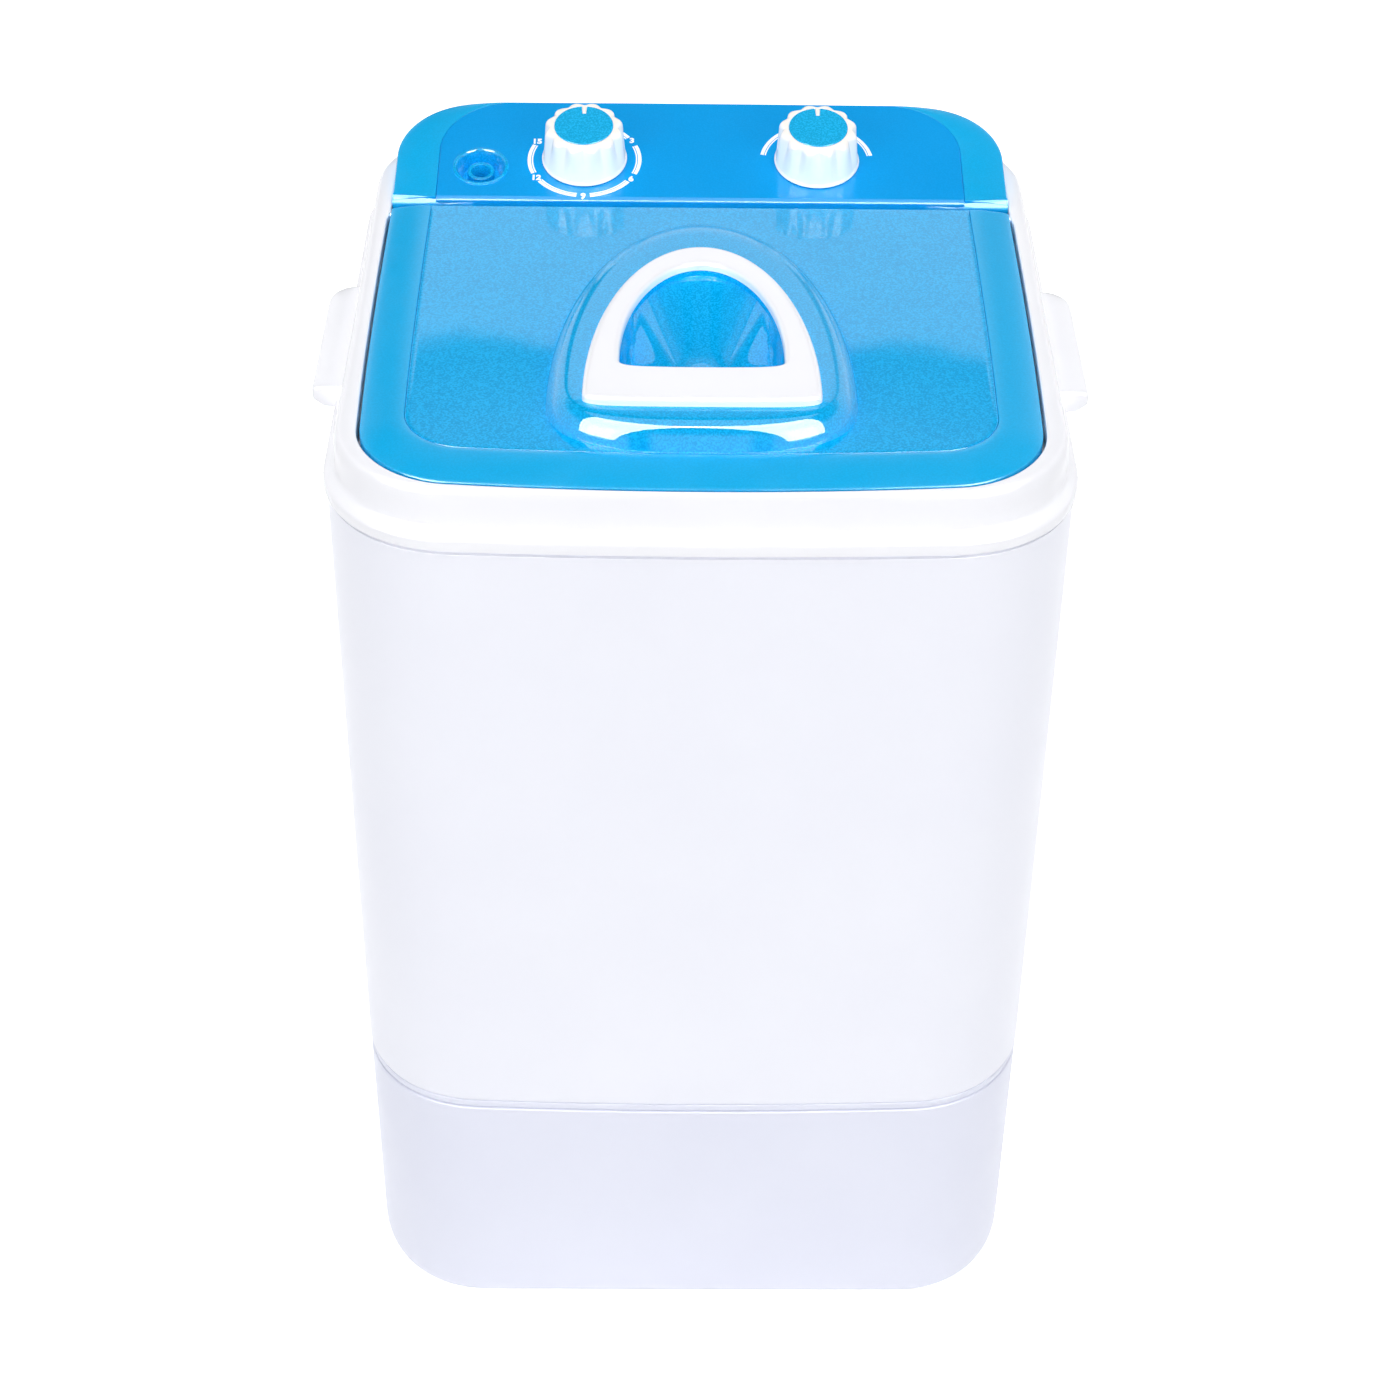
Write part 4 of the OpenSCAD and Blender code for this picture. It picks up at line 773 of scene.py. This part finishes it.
def field_shape():
    """The blue field, its rolled rear edge, the mound, and the pocket under the handle."""
    foot, top, eye = (seen_from(o, LID_C, RAYS) for o in (MOUND_FOOT, MOUND_TOP, EYE))
    bar = [(-38, EYE_Y), (-38, LID_Y0 + 47), (-36, LID_Y0 + 45), (36, LID_Y0 + 45),
           (38, LID_Y0 + 47), (38, EYE_Y)]
    under = seen_from(np.vstack([EYE[EYE[:, 1] > EYE_Y], bar]), LID_C, RAYS)
    under = np.where((eye[:, 1] < EYE_Y)[:, None], under, eye)

    # underside, from the middle of the pocket outwards
    rings = [at(toward(under, foot, outwards), POCKET_Z + up)
             for outwards, up in ((-6, -6.6), (2.4, -6.4), (2.6, 4))]
    hollow = toward(under, foot, WALL)
    rings.append(at(hollow, mound_z(hollow) - SKIN))
    rings.append(at(toward(top, foot, -3), mound_z(top) - SKIN))
    rings += [at(toward(foot, top, d), FIELD_Z - drop) for d, drop in ((3.4, 2), (2, 3.2))]
    # round the outer edge, while the rear row goes round the hinge line
    inner_field = toward(FIELD, foot, 0.9)
    roll = ROLL_R - 0.05
    for k, (inset, drop) in enumerate(FIELD_EDGE):
        phi = ROLL_START + (0.0 - ROLL_START) * k / (len(FIELD_EDGE) - 1)
        ring = at(FIELD + (inner_field - FIELD) * inset, FIELD_Z - drop)
        ring[REAR_ROW, 0] = FIELD[REAR_ROW, 0]
        ring[REAR_ROW, 1] = HINGE_Y + roll * math.sin(phi)
        ring[REAR_ROW, 2] = HINGE_Z + roll * math.cos(phi)
        rings.append(ring)
    rings.append(at(toward(FIELD, foot, 3), FIELD_Z))
    rings += [at(toward(foot, FIELD, d), FIELD_Z + up) for d, up in ((1.2, 0), (0.35, 0.04))]
    for share, up in FLANK:
        rings.append(at(foot + (top - foot) * share, FIELD_Z + (mound_z(top) - FIELD_Z) * up))
    # across the top and over the edge of the pocket
    for d, drop in ((1.6, 0), (0.7, 0.1), (0.2, 0.45), (0, 1.0), (0, 3.0)):
        flat = toward(eye, top, d)
        rings.append(at(flat, mound_z(flat) - drop))
    wall_top = mound_z(under) - 3.2
    rings.append(at(under, wall_top))
    # the pocket: a long slope at the rear, upright under the bar
    centre = np.array([0.0, POCKET_Y])
    rear_share = np.clip((eye[:, 1] + 62) / 40, 0, 1)
    rear_share = rear_share * rear_share * (3 - 2 * rear_share)
    for g in (0.02, 0.05, 0.09, 0.14, 0.2, 0.27, 0.35, 0.44, 0.53, 0.62, 0.72, 0.82, 0.92):
        flat = under + (centre - under) * g
        low = POCKET_Z - MOUND_FALL * (flat[:, 1] - POCKET_Y)
        upright = max(0.0, 1 - g / 0.09) ** 2.2
        slope = max(0.0, 1 - g / 0.66) ** 1.15
        rings.append(at(flat, low + (wall_top - low) * (upright + (slope - upright) * rear_share)))
    return loft(rings)


def handle_shape():
    """The white ring of the handle, with its broad front bar."""
    outer = handle_outline(RING_Y + 8, 57, 145, 10, 5)
    centre = (0.0, EYE_Y + 12)
    rays = angles_of(outer[::2], centre)
    outer, inner = seen_from(outer, centre, rays), seen_from(EYE, centre, rays)
    rows = [(toward(outer, inner, d), up) for d, up in (
        (0, 0), (0, 1.8), (0.12, 2.7), (0.5, 3.4), (1.2, 3.95), (2.3, 4.3), (3.8, 4.42))]
    rows.append(((outer + inner) / 2, 4.48))
    rows += [(toward(inner, outer, d), up) for d, up in (
        (3.0, 4.42), (1.7, 4.25), (0.8, 3.8), (0.25, 3.1), (0.0, 2.2), (0, 0))]
    return loft([at(flat, mound_z(flat) + up) for flat, up in rows], "loop")


given(object_of("lid_border", joined(border_shape(), rolled_end(-1), rolled_end(1))), "lid_cover")
given(object_of("lid_field", field_shape()), "lid_panel", sharp=28)
given(object_of("lid_handle", handle_shape()), "handle_ring", sharp=40)

# ---------------------------------------------------------------- control panel

PANEL_Z0 = Z_LID + 1
PANEL_TAN = math.tan(TILT)
PANEL_C = (0.0, PANEL_Y0 + 38)
PANEL_R = 42.0
FACING_W, FACING_R = field_hi[0] - 2, 39.0
INLET_X, INLET_Y, INLET_R = -(LID_W - 46), PANEL_Y0 + 25.7, 13.5
SHAFT_HOLE_R = 5


def panel_z(flat):
    return PANEL_Z0 + PANEL_TAN * (flat[:, 1] - PANEL_Y0)


def sag(flat):
    """How far the panel's front 3 mm dips towards the hinge."""
    return 1.2 * np.clip(1 - (flat[:, 1] - PANEL_Y0) / 3.0, 0, 1) ** 2


def stand(shape, x, y):
    """Stands a shape on the sloped panel, +Z out of it."""
    lean = Matrix.Rotation(TILT, 4, "X")
    return moved(shape, lean, (x, y, PANEL_Z0 + PANEL_TAN * (y - PANEL_Y0)))


def panel_outline(half_w, y_rear, radius, y_front):
    """A plate with a straight front edge and two round rear corners."""
    w, y = half_w - radius, y_rear - radius
    return np.vstack([
        straight((-half_w, y_front), (half_w, y_front), 110),
        straight((half_w, y_front), (half_w, y), 24), arc(w, y, radius, 0, 90, 24),
        straight((w, y_rear), (-w, y_rear), 76), arc(-w, y, radius, 90, 180, 24),
        straight((-half_w, y), (-half_w, y_front), 24)])


def panel_shape():
    """The turquoise panel, hollow below, whose border droops as the lid's does."""
    outer = panel_outline(LID_W, PANEL_Y1, PANEL_R, PANEL_Y0)
    facing = panel_outline(FACING_W + 0.1, PANEL_Y1 - 1.4, FACING_R, PANEL_Y0 + 0.3)
    centre = np.tile(PANEL_C, (len(outer), 1))
    front = outer[:, 1] < PANEL_Y0 + 0.01
    gap = facing - outer
    # the border droops at the sides and round the back, not along the hinge
    share = np.clip(np.linalg.norm(gap, axis=1) / BORDER_W, 0, 1)
    corner = np.clip((np.abs(outer[:, 0]) - 116) / 26, 0, 1) * front
    share = np.where(front, corner * corner * (3 - 2 * corner), np.maximum(share, 0.35))
    # under the facing the lip stands back and lies lower
    covered = np.clip((FACING_W - 0.4 - np.abs(outer[:, 0])) / 0.5, 0, 1) * front
    foot = SHELF_Z + 0.3
    inner, deep = toward(outer, centre, WALL), toward(outer, centre, 12)
    rings = [at(deep, panel_z(deep) - 6.5), at(inner, panel_z(inner) - 7.0), at(inner, foot),
             at(toward(outer, inner, 0.3), foot), at(outer, foot + 0.3),
             at(outer, panel_z(outer) - 6.2)]
    for e, drop in BORDER[1:]:
        flat = outer + gap * np.where(front, 0.0, e / BORDER_W)[:, None]
        lip = np.array([0.0, min(e, 3.0) if e > 0.1 else 0.0])
        flat = np.where(front[:, None], outer + lip, flat) + covered[:, None] * [0, 0.6]
        rings.append(at(flat, panel_z(flat) - drop * share - sag(flat) - covered * 1.25))
    for ahead in (3.8, 6):
        edge = np.where(front[:, None], outer + [0, ahead], facing)
        rings.append(at(edge, panel_z(edge) - 1.3 - sag(edge)))
    return loft(rings)


def facing_shape():
    """The printed facing, a thin plate let into the panel; its front edge laps over the lip."""
    rows = [(1, -1.05), (0.1, -1.05), (0.0, -0.9), (0, 0.15), (0.06, 0.2)]
    rows += [(d, 0.2) for d in (0.5, 1.0, 1.5, 2.1, 2.7, 3.4, 6, 14)]
    rings = []
    for d, up in rows:
        flat = panel_outline(FACING_W - 0.05 - d, PANEL_Y1 - 1.5 - d, FACING_R - d,
                             PANEL_Y0 + 0.1 + d)
        rings.append(at(flat, panel_z(flat) + up - sag(flat)))
    return loft(rings)


holes = [stand(lathe([(0, -14), (radius, -14), (radius, 10), (0, 10)], 64), x, y)
         for x, y, radius in ((*TIMER[:2], SHAFT_HOLE_R), (*SELECTOR[:2], SHAFT_HOLE_R),
                              (INLET_X, INLET_Y, INLET_R - 0.1))]
given(bored(object_of("panel_shell", panel_shape()), *holes), "control_panel")
given(bored(object_of("panel_facing", facing_shape()), *holes), "panel_fascia")

# a collar, a cup that narrows to its floor, and the spout that stands in it
cup = [(INLET_R + e, z) for e, z in (
    (0, 0.15), (1.6, 0.2), (1.45, 0.75), (0.9, 1.0), (0.2, 0.95), (-0.3, 0.5), (-0.7, -0.6),
    (-1.2, -3.5), (-1.9, -6.4), (-3.2, -8.3), (-5.0, -9.0))]
spout = [(7.6, -9.0), (7.4, -8.6), (7.4, -3.6), (7.2, -3.0), (6.7, -2.75), (6.0, -2.75),
         (5.3, -2.9), (5.0, -3.4), (5.0, -33), (7.3, -33), (7.3, -11), (INLET_R - 0.1, -11)]
inlet = lathe(cup + spout, 96, "loop")
given(object_of("inlet_cup", stand(inlet, INLET_X, INLET_Y)), "water_inlet")

# ---------------------------------------------------------------- dial print

PRINT_UP, PRINT_T = 0.22, 0.1
PRINT_BANDS = ((27.9, 28.6), (29.0, 30.9))    # a thin line and a broad one beside it
NUMERAL_H, NUMERAL_REACH = 5.4, 30


def print_arc(dial, start, end, inner, outer):
    """A flat band of ink round a dial, from one angle to another."""
    a = np.radians(np.linspace(start, end, max(6, int(abs(end - start) / 2.5))))
    rings = [at(circle(x, a), z) for x, z in ((inner, PRINT_UP), (inner, PRINT_UP + PRINT_T),
                                              (outer, PRINT_UP + PRINT_T), (outer, PRINT_UP))]
    verts, faces = loft(rings, "loop", around=False)
    n = len(a)
    faces += [(0, n, 2 * n, 3 * n), (n - 1, 2 * n - 1, 3 * n - 1, 4 * n - 1)]
    return stand((verts, faces), dial[0], dial[1])


def numeral(text, dial, angle):
    """One printed number, upright on the panel, at this angle from the dial's middle."""
    name = "numeral_" + text
    curve = bpy.data.curves.new(name, "FONT")
    curve.body, curve.size, curve.align_x, curve.align_y = text, NUMERAL_H, "CENTER", "CENTER"
    curve.extrude, curve.offset, curve.resolution_u = PRINT_T / 2, NUMERAL_H * 0.045, 4
    made = baked(link(bpy.data.objects.new(name, curve)))
    verts = np.array([v.co for v in made.data.vertices])
    faces = [tuple(p.vertices) for p in made.data.polygons]
    bpy.data.objects.remove(made)
    a = math.radians(angle)
    verts = verts + [NUMERAL_REACH * math.cos(a), NUMERAL_REACH * math.sin(a),
                     PRINT_UP + PRINT_T / 2]
    return stand((verts, faces), dial[0], dial[1])


marks = [print_arc(dial, low, high, *band) for dial, low, high in (
    (TIMER, 157, 203), (TIMER, 217, 263), (TIMER, 277, 323), (TIMER, 337, 383), (TIMER, 38, 84),
    (SELECTOR, 10, 84), (SELECTOR, 96, 170)) for band in PRINT_BANDS]
marks += [numeral(text, TIMER, angle) for text, angle in
          (("15", 151), ("12", 211), ("9", 270), ("6", 328), ("3", 32))]
printed = joined(*marks)
printed[0][:, 2] -= sag(printed[0])
given(object_of("dial_print", printed), "dial_marks")

# ---------------------------------------------------------------- knobs

KNOB_R, KNOB_H, KNOB_LOW, LOBES = 23.0, 24.0, 0.8, 12
CROWN_Z = 20.5                        # where the side turns over into the crown
CAP_R = 15.8
POINTER, POINTER_L = 1.2, 6           # half width and length of the pointer


def knob_radius(theta, z):
    """The knob's reach at this angle and height: a nearly upright side, lobed at the crown."""
    u = (z - KNOB_LOW) / (KNOB_H - KNOB_LOW)
    side = 22.5 - 1.3 * u
    lobe = 0.5 + 0.5 * np.cos(LOBES * (theta - math.pi / LOBES))
    depth = 0.25 + 2.35 * np.clip((u - 0.12) / 0.8, 0, 1) ** 1.3
    return side - depth * (1 - lobe ** 0.75)


def knob_shape():
    """The knob: hollow below, a plain foot ring, the lobed side, the crown and the cap's seat."""
    theta = np.linspace(0, WHOLE_TURN, 360, endpoint=False)
    rows = [(7.5, 14.0), (15.0, 14.0), (15.4, 13.5)]
    rows += rise(KNOB_LOW, (15.4, 0.2), (15.6, 0), (KNOB_R - 0.5, 0), (KNOB_R - 0.1, 0.15),
                 (KNOB_R, 0.5), (KNOB_R, 0.9), (KNOB_R - 0.15, 1.2))
    rows += [(knob_radius(theta, z), z)
             for z in (KNOB_LOW + 1.8, KNOB_LOW + 3, 6, 9, 12, 15, 18, CROWN_Z)]
    top = knob_radius(theta, CROWN_Z)
    rows += [(top + (CAP_R + 0.35 - top) * share, z) for share, z in
             ((0.06, 21.6), (0.17, 22.5), (0.34, 23.2), (0.58, 23.7), (0.85, 23.95))]
    rows += rise(KNOB_H, (CAP_R + 0.25, 0), (CAP_R + 0.05, -0.15), (CAP_R, -0.5), (CAP_R, -1.6))
    return loft([at(circle(radius, theta), z) for radius, z in rows])


def pointer_shape():
    """The white tongue that stands through the cap and shows where the knob points."""
    rings = []
    for inset, z in rise(KNOB_H, (0.0, -1.8), (0.0, -0.05), (0.25, 0.12)):
        w, y0, y1 = POINTER - inset, CAP_R - POINTER_L + inset, CAP_R + 0.8 - inset
        flat = [(-w, y0 + 0.5), (-w + 0.5, y0), (w - 0.5, y0), (w, y0 + 0.5), (w, y1), (-w, y1)]
        rings.append(at(np.array(flat), z))
    return loft(rings)


def cap_shape():
    """The coloured cap: a disc, slightly dished, with the notch for the pointer."""
    edge = circle(CAP_R, np.linspace(0, WHOLE_TURN, 256, endpoint=False) + math.pi / 2)
    rear = (np.abs(edge[:, 0]) < POINTER + 0.12) & (edge[:, 1] > 0)
    notched = edge.copy()
    notched[rear, 1] = CAP_R - POINTER_L - 0.1
    rings = [at(notched * (1 - d / CAP_R), z) for d, z in rise(
        KNOB_H, (0.4, -1.6), (0.06, -1.5), (0.06, 0.1), (0.2, 0.32), (0.55, 0.4), (1.4, 0.36))]
    for share in (0.8, 0.62, 0.4, 0.2):
        flat = edge * share
        flat[rear, 1] = np.minimum(flat[rear, 1], CAP_R - POINTER_L - 0.4)
        rings.append(at(flat, KNOB_H + 0.36 - 0.1 * (1 - share)))
    return loft(rings)


for dial, (x, y, _) in (("timer", TIMER), ("selector", SELECTOR)):
    knob = joined(knob_shape(), pointer_shape())
    given(object_of(dial + "_knob_body", stand(knob, x, y)), dial + "_knob",
          material=KNOB_WHITE, sharp=45)
    given(object_of(dial + "_knob_cap", stand(cap_shape(), x, y)), dial + "_cap")

# ---------------------------------------------------------------- tub and pulsator

PULSATOR_R, PULSATOR_Z = pulsator_hi[0], pulsator_lo[2]
VANES, VANE_X0 = 6, 16


def disc_shape():
    """The pulsator: a shallow cone with a raised hub."""
    r = PULSATOR_R
    profile = rise(PULSATOR_Z, (8, 0), (r - 1, 0), (r - 0.2, 0.4), (r, 1.4), (r - 0.1, 2.8),
                   (r - 0.8, 3.9), (r - 2.2, 4.6), (r - 6, 4.9), (60, 5.8), (38, 6.9), (31, 8.2),
                   (27, 10.6), (24.4, 13.6), (22.2, 17.4), (20.4, 20.0), (18, 21.4), (15, 22),
                   (9.2, 22), (8.4, 21.7), (8, 21), (8, 19))
    return moved(lathe(profile, 128, "loop"), to=(0, TUB_CY, 0))


def vane_shape():
    """One vane, a rounded ridge that falls away towards the rim."""
    t = np.linspace(0, math.pi, 15)
    rings = []
    for x in np.linspace(VANE_X0, PULSATOR_R - 6, 26):
        u = (x - VANE_X0) / (PULSATOR_R - 6 - VANE_X0)
        height = 20.5 - 6.5 * u - 10.5 * max(0.0, (u - 0.78) / 0.22) ** 2
        half = 6.5 - 1.8 * u
        sweep = 7.0 * math.sin(u * math.pi * 0.8)
        across = sweep + half * np.cos(t) * (1 + 0.3 * (1 - np.sin(t)))
        rings.append(np.column_stack([np.full(15, x), across,
                                      3 + (height - 3) * np.sin(t) ** 0.7]))
    return loft(rings)


for node, edge in (("wash_tub", 0.6), ("lint_filter", 0.5), ("drain_grate", 0.25)):
    copied(node, edge)
given(object_of("pulsator_disc", disc_shape()), "pulsator")
given(repeated("pulsator_vanes", vane_shape(), [(0, TUB_CY, PULSATOR_Z)] * VANES,
               [(0, 0, 360 / VANES * i) for i in range(VANES)], PULSATOR_BLUE), like="pulsator")

# ---------------------------------------------------------------- screws, feet and rear cover

SCREW_R, SCREW_H = 3.6, 1.2           # heads at the rear
FOOT_SCREW_R, FOOT_SCREW_H = 4.8, 1.0
COVER_X, COVER_Z = cover_hi[0] - 26, (cover_lo[2] + 6, cover_hi[2] - 6)
CASE_X = cab_hi[0] - 70
FOOT_X, FOOT_Y = cab_hi[0] - 55, cab_hi[1] - 55
COVER_MID = (cover_lo[2] + cover_hi[2]) / 2
BARS, BAR_PITCH, BAR_HALF = 14, 11, 3.5


def pan_head(radius, height):
    """A pan head screw seen from outside: domed head with a cross recess."""
    theta = np.linspace(-math.pi, math.pi, 64, endpoint=False)
    bar, reach = radius * 0.13, radius * 0.62
    plus = np.array([(reach, -bar), (reach, bar), (bar, bar), (bar, reach), (-bar, reach),
                     (-bar, bar), (-reach, bar), (-reach, -bar), (-bar, -bar), (-bar, -reach),
                     (bar, -reach), (bar, -bar)])
    plus = seen_from(plus, (0, 0), theta)
    rings = [at(circle(radius * share, theta), z) for share, z in (
        (0.5, -1.5), (0.5, 0), (0.97, 0), (1, height * 0.12), (0.98, height * 0.45),
        (0.9, height * 0.75), (0.76, height * 0.94))]
    rings += [at(plus * share, height * up) for share, up in ((1.05, 1), (1, 0.96), (0.8, 0.4))]
    return loft(rings)


def heads(node, spots, turn, radius=SCREW_R, height=SCREW_H):
    given(repeated(node + "_heads", pan_head(radius, height), spots, turn, ZINC), node)


def foot_shape():
    """A moulded rubber foot, with a ribbed flank and a countersunk middle."""
    top = base_lo[2]
    return lathe([(2.6, 2.0), (5.4, 1.8), (5.6, 0.2), (6.0, 0), (14.6, 0), (15.2, 0.3),
                  (15.6, 0.8), (16.2, 1.0), (16.4, 1.5), (16.1, 1.8), (16.6, 2.1), (17, 2.6),
                  (17, top - 0.3), (16.7, top), (6, top), (6, top + 3), (2.6, top + 3)], 72, "loop")


def cover_shape():
    """The rear cover plate, with one wide opening for the row of bars."""
    (x0, y0, z0), (x1, y1, z1) = cover_lo, cover_hi
    w, d, t = (x1 - x0) / 2, (z1 - z0) / 2, y1 - y0
    outside, opening = (w, d, 5), (79.0, d - 25, 2.5)
    rings = []
    for size, grow, up in ((outside, 0, 0), (outside, 0, t - 0.5), (outside, -0.2, t - 0.15),
                           (outside, -0.6, t), (opening, 0.5, t), (opening, 0.1, t - 0.15),
                           (opening, 0, t - 0.5), (opening, 0, 0)):
        flat = rounded(*(s + grow for s in size), 0, 8, 10) + [(x0 + x1) / 2, COVER_MID]
        rings.append(np.column_stack([flat[:, 0], np.full(len(flat), y0 + up), flat[:, 1]]))
    return loft(rings, "loop")


def bar_shape():
    """One bar between two cooling slots, a little crowned."""
    half_z = (cover_hi[2] - cover_lo[2]) / 2 - 24
    t = cover_hi[1] - cover_lo[1]
    side = [(BAR_HALF, 0), (BAR_HALF, t - 0.7), (3.0, t - 0.25), (1.8, t - 0.05)]
    section = [(-x, y) for x, y in side] + [(0, t)] + side[::-1]
    return loft([at(np.array(section), z) for z in (-half_z, 0, half_z)])


heads("cover_screws", [(x, cover_hi[1], z) for x in (-COVER_X, COVER_X) for z in COVER_Z],
      (-90, 20, 0))
heads("case_screws", [(x, cab_hi[1] - draw, z) for x in (-CASE_X, 0, CASE_X)
                      for draw, z in ((CABINET_DRAW, cab_lo[2] + 4.5), (0, FLANGE_Z - 7))],
      (-90, 35, 0))
foot_spots = [(x, y, 0) for x in (-FOOT_X, FOOT_X) for y in (-FOOT_Y, FOOT_Y)]
given(repeated("base_feet", foot_shape(), foot_spots, (0, 0, 0), FOOT_RUBBER), "feet")
heads("foot_screws", [(x, y, 1.8) for x, y, _ in foot_spots], (180, 0, 30), FOOT_SCREW_R,
      FOOT_SCREW_H)
given(object_of("rear_cover_plate", cover_shape()), "rear_cover")
given(repeated("rear_cover_bars", bar_shape(),
               [(BAR_PITCH * (i + 0.5), cover_lo[1], COVER_MID)
                for i in range(-(BARS // 2), BARS // 2)],
               (0, 0, 0), CABINET_WHITE), like="rear_cover")
for node in ("drain_pipe", "cord_gland", "hinge_pins", "lid_buffers", "inlet_duct", "motor_pulley",
             "driven_pulley", "cooling_fan", "capacitor", "terminal_box", "motor_caps",
             "pulsator_screw"):
    copied(node, 0.3)

# ---------------------------------------------------------------- floor, world and lamps

WHITE = (1, 1, 1, 1)
FLOOR_HALF, FLOOR_GLOW = 6000.0, 0.62
SOFT_LEVEL, BAND_LEVEL = 0.56, 1.25   # of the world, for soft light and for gloss
# the band's top edge: its height, that of the hills and of the wobble on it, and the hills'
# middle and half width
BAND_TOP, HILL_H, WOBBLE_H = 0.514, 0.04, 0.012
HILLS_X, HILLS_HALF = 0.008, 0.12


def floor_plane():
    """A pale matt floor that keeps the soft shadow and reads as white to the camera."""
    half = FLOOR_HALF
    corners = [(-half, -half, 0), (half, -half, 0), (half, half, 0), (-half, half, 0)]
    obj = object_of("studio_floor", (np.array(corners), [(0, 1, 2, 3)]))
    made, tree, shader = surface("pale_matt_floor", Roughness=0.9, Specular_IOR_Level=0.1,
                                 Base_Color=(0.86, 0.86, 0.865, 1), Emission_Color=WHITE)
    path = add(tree, "ShaderNodeLightPath").outputs
    seen = path["Is Camera Ray"]
    for ray in ("Is Glossy Ray", "Is Transmission Ray"):
        seen = add(tree, "ShaderNodeMath", {"operation": "MAXIMUM"}, i0=seen,
                   i1=path[ray]).outputs[0]
    glow = add(tree, "ShaderNodeMath", {"operation": "MULTIPLY"}, i0=seen, i1=FLOOR_GLOW)
    tree.links.new(glow.outputs[0], shader.inputs["Emission Strength"])
    obj.data.materials.append(made)


def sky():
    """White for the camera, pale and soft for the light; for gloss, a bright band with a ragged
    top edge, dimmer above it and in two gaps."""
    world = bpy.data.worlds.new("studio")
    bpy.context.scene.world = world
    world.use_nodes = True
    tree = world.node_tree
    tree.nodes.clear()
    direction = add(tree, "ShaderNodeTexCoord").outputs["Generated"]
    split = add(tree, "ShaderNodeSeparateXYZ", Vector=direction).outputs
    off = add(tree, "ShaderNodeMath", {"operation": "ADD"}, i0=split["X"], i1=-HILLS_X)
    off = add(tree, "ShaderNodeMath", {"operation": "ABSOLUTE"}, i0=off.outputs[0])
    off = add(tree, "ShaderNodeMath", {"operation": "DIVIDE"}, i0=off.outputs[0], i1=HILLS_HALF)
    hills = add(tree, "ShaderNodeValToRGB", Fac=off.outputs[0], stops=(
        (0.0, 0.6), (0.358, 0.35), (0.49, 0.12), (0.583, 0.08), (0.69, 0.06), (0.75, 0.11),
        (0.83, 0.28), (1.0, 0.5)))
    wobble = add(tree, "ShaderNodeTexNoise", Vector=direction, Scale=22.0)
    edge = add(tree, "ShaderNodeMath", {"operation": "MULTIPLY_ADD"}, i0=wobble.outputs["Fac"],
               i1=WOBBLE_H, i2=BAND_TOP)
    edge = add(tree, "ShaderNodeMath", {"operation": "MULTIPLY_ADD"}, i0=hills.outputs["Color"],
               i1=HILL_H, i2=edge.outputs[0])
    above = add(tree, "ShaderNodeMath", {"operation": "SUBTRACT"}, i0=split["Z"],
                i1=edge.outputs[0])
    # the ramp starts a little below the edge and runs to well above it
    above = add(tree, "ShaderNodeMath", {"operation": "MULTIPLY_ADD"}, i0=above.outputs[0],
                i1=2.0, i2=0.1)
    band = add(tree, "ShaderNodeValToRGB", Fac=above.outputs[0], stops=(
        (0.0, 1.0), (0.1, 1.0), (0.106, 0.14), (0.16, 0.4), (0.22, 0.4), (0.34, 0.12),
        (0.6, 0.07)))
    across = add(tree, "ShaderNodeMath", {"operation": "MULTIPLY_ADD"}, i0=split["X"], i1=0.5,
                 i2=0.5)
    gaps = add(tree, "ShaderNodeValToRGB", Fac=across.outputs[0], stops=(
        (0.345, 1.0), (0.37, 0.06), (0.42, 0.06), (0.445, 1.0), (0.56, 1.0), (0.585, 0.3),
        (0.63, 0.3), (0.655, 1.0)))
    level = add(tree, "ShaderNodeMath", {"operation": "MULTIPLY"}, i0=band.outputs["Color"],
                i1=gaps.outputs["Color"])
    level = add(tree, "ShaderNodeMath", {"operation": "MULTIPLY"}, i0=level.outputs[0],
                i1=BAND_LEVEL)
    gloss = add(tree, "ShaderNodeBackground", Color=WHITE, Strength=level.outputs[0])
    soft = add(tree, "ShaderNodeBackground", Color=(0.965, 0.975, 1.0, 1), Strength=SOFT_LEVEL)
    open_view = add(tree, "ShaderNodeBackground", Color=WHITE, Strength=1.0)
    path = add(tree, "ShaderNodeLightPath").outputs
    lit = add(tree, "ShaderNodeMixShader", i0=path["Is Glossy Ray"], i1=soft.outputs[0],
              i2=gloss.outputs[0])
    seen = add(tree, "ShaderNodeMath", {"operation": "MAXIMUM"}, i0=path["Is Camera Ray"],
               i1=path["Is Transmission Ray"])
    both = add(tree, "ShaderNodeMixShader", i0=seen.outputs[0], i1=lit.outputs[0],
               i2=open_view.outputs[0])
    add(tree, "ShaderNodeOutputWorld", Surface=both.outputs[0])


def softbox(name, place, aim, size, power):
    """An area lamp of this width and height in metres, pointed at its aim."""
    lamp = bpy.data.lights.new(name, "AREA")
    lamp.shape, lamp.energy = "RECTANGLE", power
    lamp.size, lamp.size_y = size
    obj = link(bpy.data.objects.new(name, lamp))
    obj.location = place
    obj.rotation_euler = (Vector(aim) - Vector(place)).to_track_quat("-Z", "Y").to_euler()
    return obj


floor_plane()
sky()
softbox("overhead", (0, -0.1, 2.5), (0, 0, 0.4), (1.8, 1.8), 18)
for side, label in ((-1, "left"), (1, "right")):
    softbox("front_" + label, (1.5 * side, -2.0, 1.5), (0, 0, 0.35), (1.0, 1.4), 14)
# two reflection cards for the handle's front flank: they show in gloss and add no soft light
for side, label in ((-1, "left"), (1, "right")):
    card = softbox("card_" + label, (side, -1.24, 1.91), (0, -0.13, 0.57), (1.45, 2.6), 240)
    card.visible_diffuse = False
